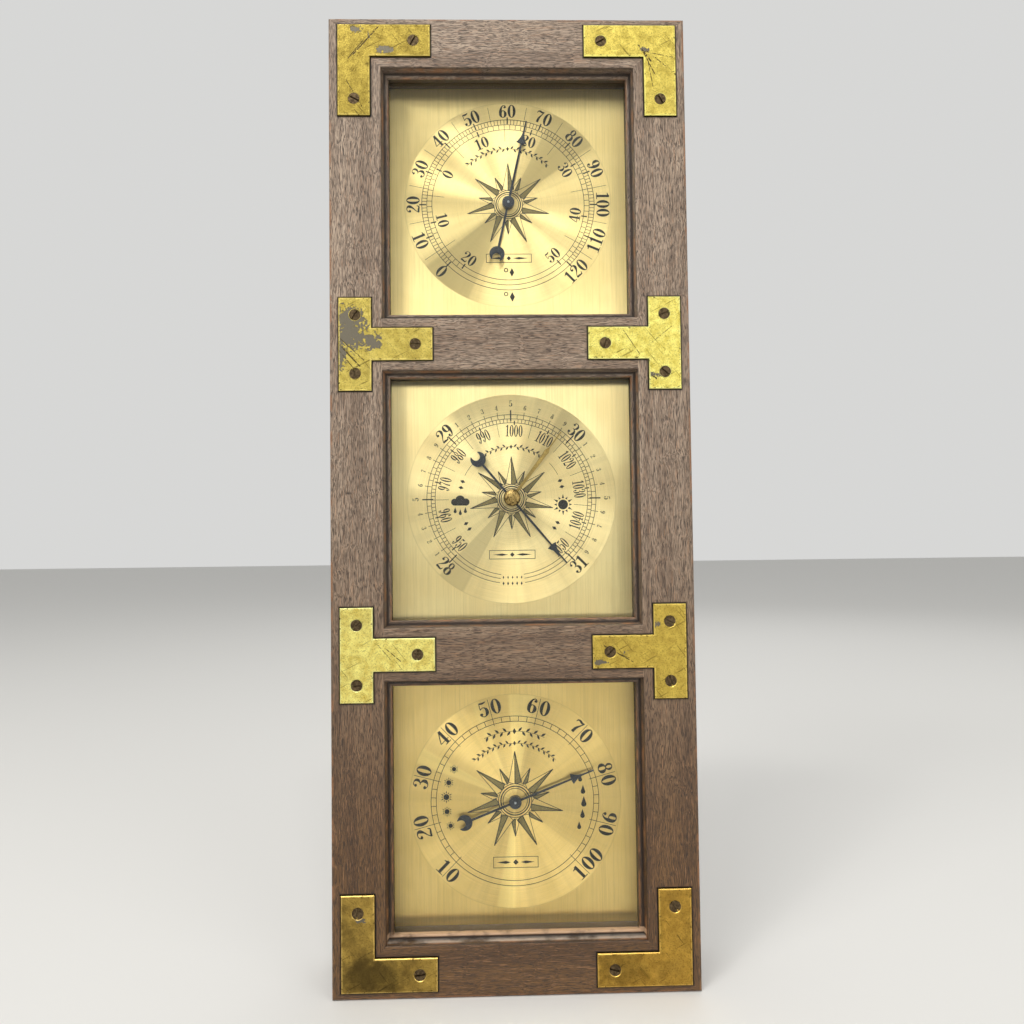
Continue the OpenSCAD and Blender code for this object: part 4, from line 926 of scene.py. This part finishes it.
def print_thermometer(ink, shade):
    sheet, shading = start_prints("thermometer")
    outer, middle, inner = 44.5, 41.9, 39.3
    shades, shapes = make_rose(21.6)
    for radius in (outer, middle, inner):
        shapes += ring(radius, 0.3)

    def warm(value):
        return scale_start + 2.25 * value

    def cool(value):
        return warm(32 + 1.8 * value)

    for value in range(0, 121):
        ten = value % 10 == 0
        shapes += spoke(warm(value), *((42.2, 45.8, 0.66) if ten else (middle, outer, 0.28)))
        if value % 10 == 5:
            shapes += spoke(warm(value), outer, 51.8, 0.2)
    for value in range(-20, 51):
        ten = value % 10 == 0
        shapes += spoke(cool(value), *((38.2, 41.2, 0.66) if ten else (inner, middle, 0.28)))
        if value % 10 == 5:
            shapes += spoke(cool(value), 33.2, inner, 0.2)
    shapes += garland(29.2, -46, 46, 3.0)
    shapes += placed(flourish(23.5, 4.6), (0, -28.0))
    shapes += placed([*ring(0.9, 0.45), *placed(lozenge(2.4, 4.4), (3.0, -1.2))], (-1.5, -34.2))
    shapes += placed([*ring(0.9, 0.45), *placed(lozenge(2.6, 5.0), (3.2, -1.5))], (-1.6, -46.6))
    sheet.shapes(shapes)
    for value in range(0, 121, 10):
        sheet.number(value, warm(value), radius=49.0, height=6.8, stretch=1.2, flip_past=95)
    for value in range(-20, 51, 10):
        sheet.number(abs(value), cool(value), radius=34.8, height=5.8, stretch=1.2, flip_past=95)
    sheet.finish("thermometer_print", ink)
    shading.shapes(shades)
    shading.finish("thermometer_rose_shade", shade)


def print_barometer(ink, shade):
    sheet, shading = start_prints("barometer")
    shades, shapes = make_rose(21.6)

    def inches(value):
        return scale_start + 90 * (value - 28)

    def millibars(value):
        return inches(value / 33.8639)

    # The rings stop for a gap at the bottom
    gap = 8.5
    outer, middle, inner = 43.1, 40.9, 38.9
    for radius in (outer, middle, inner):
        shapes += ring(radius, 0.28, gap - 180, 180 - gap)
    for i in range(0, 61):
        whole = i % 20 == 0
        half = i % 20 == 10
        size = (39.8, 45.4, 0.65) if whole or half else (middle, 44.6 if i % 2 == 0 else outer, 0.28)
        shapes += spoke(inches(28 + i / 20), *size)
    for value in range(950, 1051):
        ten = value % 10 == 0
        shapes += spoke(millibars(value), *((37.7, 40.0, 0.6) if ten else (inner, middle, 0.3)))
        if value % 10 == 5:
            shapes += spoke(millibars(value), 32.0, inner, 0.2)
    arc = 26.6
    shapes += garland(arc, -35, 35, 2.8)
    shapes += ring(arc, 0.2, 47, 63)
    shapes += ring(arc, 0.2, -63, -47)
    shapes += placed(flourish(23.5, 4.6), (0, -28.4))
    signs = 26.4
    shapes += placed(sun(11), around(signs, 97))
    for side in (70, 77, 118, 125):
        for a in (side, -side):
            shapes += placed(lozenge(1.7, 2.8), around(signs, a), a)
    rain = around(signs, -97)
    shapes += placed(cloud(11), (rain[0], rain[1] + 1.8))
    for x, z in ((-2.6, -2.4), (0, -3.4), (2.6, -2.4)):
        shapes += placed(drop(3.2), (rain[0] + x, rain[1] + z))
    for radius, size in ((39.9, 1.6), (43.0, 2.0)):
        for i in range(-2, 3):
            shapes += placed(lozenge(size * 0.5, size), (i * 2.3, -radius))
    sheet.shapes(shapes)
    for value in range(28, 32):
        sheet.number(value, inches(value), radius=47.6, height=7.0, stretch=1.15, flip_past=95)
    for whole in range(28, 31):
        for tenth in range(1, 10):
            size, place = (3.2, 48.8) if tenth == 5 else (2.5, 47.0)
            sheet.number(tenth, inches(whole + tenth / 10), radius=place, height=size, stretch=1.1,
                         flip_past=95)
    for value in range(950, 1051, 10):
        sheet.number(value, millibars(value), radius=34.8, height=6.0, stretch=0.68, flip_past=95)
    sheet.finish("barometer_print", ink)
    shading.shapes(shades)
    shading.finish("barometer_rose_shade", shade)


def print_humidity(ink, shade):
    sheet, shading = start_prints("humidity")
    outer, inner = 42.2, 39.6
    shades, shapes = make_rose(24.6)
    for radius in (outer, inner):
        shapes += ring(radius, 0.3)

    def percent(value):
        return scale_start + 3 * (value - 10)

    for value in range(10, 101, 2):
        shapes += spoke(percent(value), inner, outer, 0.3)
        if value % 10 == 0:
            shapes += spoke(percent(value), 38.6, 52.4, 0.26)
    signs = 34.6
    shapes += garland(signs, -26, 26, 3.8)
    shapes += garland(28.6, -46, 46, 3.0)
    for i, size in ((-2, 4.2), (-1, 4.8), (0, 5.6), (1, 4.8), (2, 4.2)):
        shapes += placed(drop(size), around(signs, 92 + 10 * i))
        shapes += placed(sun(size * 1.15), around(signs, 12 * i - 86))
    shapes += placed(flourish(22.6, 5.6), (0, -30.5))
    sheet.shapes(shapes)
    for value in range(10, 101, 10):
        sheet.number(value, percent(value), radius=48.1, height=7.6, stretch=1.33, flip_past=120,
                     split=0.9)
    sheet.finish("humidity_print", ink)
    shading.shapes(shades)
    shading.finish("humidity_rose_shade", shade)


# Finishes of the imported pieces

def coat(material, *names):
    for name in names:
        slots = nodes[name].data.materials
        slots.clear()
        slots.append(material)


def coat_frame():
    upright = make_wood("wood_upright", 2)
    level = make_wood("wood_level", 0)
    coat(upright, "left_stile", "right_stile")
    coat(level, "top_rail", "upper_middle_rail", "lower_middle_rail", "bottom_rail")
    coat(make_metal("dowel", (176, 140, 92), 0.7, (150, 112, 70), metallic=0.0), "frame_dowels")
    coat(make_board(), "back_panel")
    coat(make_card(), "glass_spacers")


def coat_plates():
    """Colours, tarnish, lost plating, scratches, scuffs and shades of each plate.

    Points are [x, z] in millimetres. A scratch has two of them and a width, a scuff a centre and
    half its width and height, and a shade the same and its strength.
    """
    plates = {
        "top_left_corner_plate": dict(
            low=(150, 129, 55), high=(190, 168, 78), stain=0.25, bare=0.04,
            marks=[((-76.5, -7), (-64, 7), 0.9), ((-79, -9), (-70, 2), 0.5), ((-80, -20), (-72, -34), 0.4)],
            scuffs=[((-75.5, 5.5), (3.0, 1.6)), ((-61, -4.5), (4.2, 1.6))]),
        "top_right_corner_plate": dict(
            low=(198, 175, 77), high=(240, 220, 111), stain=0.3, bare=0.04,
            marks=[((69, -4), (80, -13), 0.5), ((67, -3), (74, -17), 0.6), ((68, -5), (83, -8), 0.4),
                   ((70, -7), (73, -24), 0.4), ((66, -2), (72, -10), 0.9)],
            scuffs=[((69, -4), (2.2, 1.0))]),
        "upper_left_tee_plate": dict(
            low=(178, 156, 70), high=(220, 201, 106), stain=0.3, bare=0.05,
            marks=[((-86, -150), (-74, -163), 0.8), ((-86, -147), (-72, -160), 0.5),
                   ((-85, -154), (-77, -164), 0.5)],
            scuffs=[((-80, -139), (9, 5)), ((-79, -147), (10, 8)), ((-68, -151), (5, 3.6)),
                    ((-84, -156), (3, 8))]),
        "upper_right_tee_plate": dict(
            low=(206, 185, 76), high=(252, 243, 138), stain=0.2, bare=0.05,
            marks=[((66, -166), (72, -170), 0.9), ((56, -146), (64, -158), 0.4),
                   ((70, -152), (80, -144), 0.3)],
            scuffs=[((70, -168), (4, 1.2))]),
        "lower_left_tee_plate": dict(
            low=(212, 188, 88), high=(255, 246, 146), stain=0.25, bare=0.05,
            marks=[((-62, -301), (-55, -307), 0.5), ((-66, -299), (-60, -306), 0.3)]),
        "lower_right_tee_plate": dict(
            low=(176, 149, 64), high=(214, 187, 86), stain=0.3, bare=0.06,
            marks=[((44, -301), (58, -309), 0.6), ((46, -303), (56, -307), 0.4)],
            scuffs=[((42, -309), (3.5, 1.2)), ((70, -291), (2, 1.5))]),
        "bottom_left_corner_plate": dict(
            low=(144, 118, 55), high=(196, 164, 80), stain=0.6, bare=0.04,
            scuffs=[((-75, -430), (2.6, 1.2))],
            shades=[((-70, -456), (17, 10), 0.75), ((-80, -436), (7, 5), 0.2)]),
        "bottom_right_corner_plate": dict(
            low=(152, 117, 45), high=(200, 160, 69), stain=0.4, bare=0.03,
            shades=[((50, -455), (15, 9), 0.4)]),
    }
    for node, look in plates.items():
        coat(make_brass(node, **look), node)
    coat(make_metal("dark_screws", (72, 60, 44), 0.42, (112, 95, 70), 900), "plate_screws")


def coat_dials():
    """The dials' two golds and their painted reflection wedges, then the glass, the hands and the knob."""
    dials = {
        "thermometer": ((236, 208, 142), (246, 220, 155), ((41, 14, -0.4), (218, 15, -0.4))),
        "barometer": ((240, 213, 152), (249, 226, 167), ((36, 6, -0.4), (216, 8, -0.4))),
        "humidity": ((230, 196, 120), (244, 210, 135), (
            (4, 7, 0.45), (338, 2.5, 0.35), (296, 4.5, 0.5), (185.5, 5, 0.45), (80, 22, -0.15))),
    }
    for name, look in dials.items():
        coat(make_dial(name, *look), name + "_dial")
    coat(make_glass(), "thermometer_glass", "barometer_glass", "humidity_glass")
    black = make_metal("black_hands", (30, 32, 37), 0.36, (42, 46, 54), 1200, metallic=0.3)
    coat(black, "thermometer_hand", "barometer_hand", "humidity_hand")
    worn_brass = make_metal("set_brass", (176, 148, 84), 0.3, (148, 120, 62), 900)
    coat(worn_brass, "set_hand", "set_bush")
    coat(make_knob_brass(), "set_knob")


def coat_movements():
    steel = make_metal("steel", (176, 178, 182), 0.3, (150, 152, 156))
    coat(steel, "thermometer_arbor", "humidity_arbor", "rocker", "dial_clips")
    brass = make_metal("movement_brass", (200, 168, 96), 0.3, (176, 142, 76))
    coat(brass, "thermometer_bush", "thermometer_nut", "thermometer_adjuster", "humidity_bush",
         "humidity_nut", "humidity_adjuster", "barometer_arbor", "sector_gear", "main_lever",
         "capsule_screw", "base_plate", "base_pillars", "movement_front_plate",
         "movement_rear_plate", "movement_pillars")
    coat(make_metal("aluminium", (196, 197, 200), 0.4, (180, 181, 184)),
         "thermometer_bracket", "humidity_bracket")
    coat(make_metal("bimetal", (178, 160, 126), 0.35, (150, 132, 100)), "thermometer_coil")
    coat(make_metal("humidity_strip", (196, 180, 138), 0.6, (176, 158, 116), metallic=0.0), "humidity_coil")
    coat(make_metal("spring_steel", (112, 120, 134), 0.3, (86, 92, 108)), "hairspring", "main_spring")
    coat(make_metal("capsule", (190, 182, 158), 0.35, (170, 160, 134)), "capsule")
    coat(make_metal("zinc", (182, 184, 188), 0.42, (150, 152, 158), 300, 0.00006), "hanger_plate")
    coat(make_metal("hanger_steel", (112, 112, 116), 0.34, (86, 86, 90), 900), "hanger_screws")
    coat(make_metal("back_screws", (188, 156, 84), 0.36, (150, 118, 58)), "back_panel_screws")


# The whole scene

make_camera()
make_studio()
make_floor()
coat_frame()
coat_plates()
coat_dials()
coat_movements()
black_ink = make_ink("black_ink", (34, 31, 28))
rose_tint = make_ink("rose_tint", (104, 92, 56), 0.45)
print_thermometer(black_ink, rose_tint)
print_barometer(black_ink, rose_tint)
print_humidity(black_ink, rose_tint)

bpy.context.scene.view_settings.view_transform = "Standard"
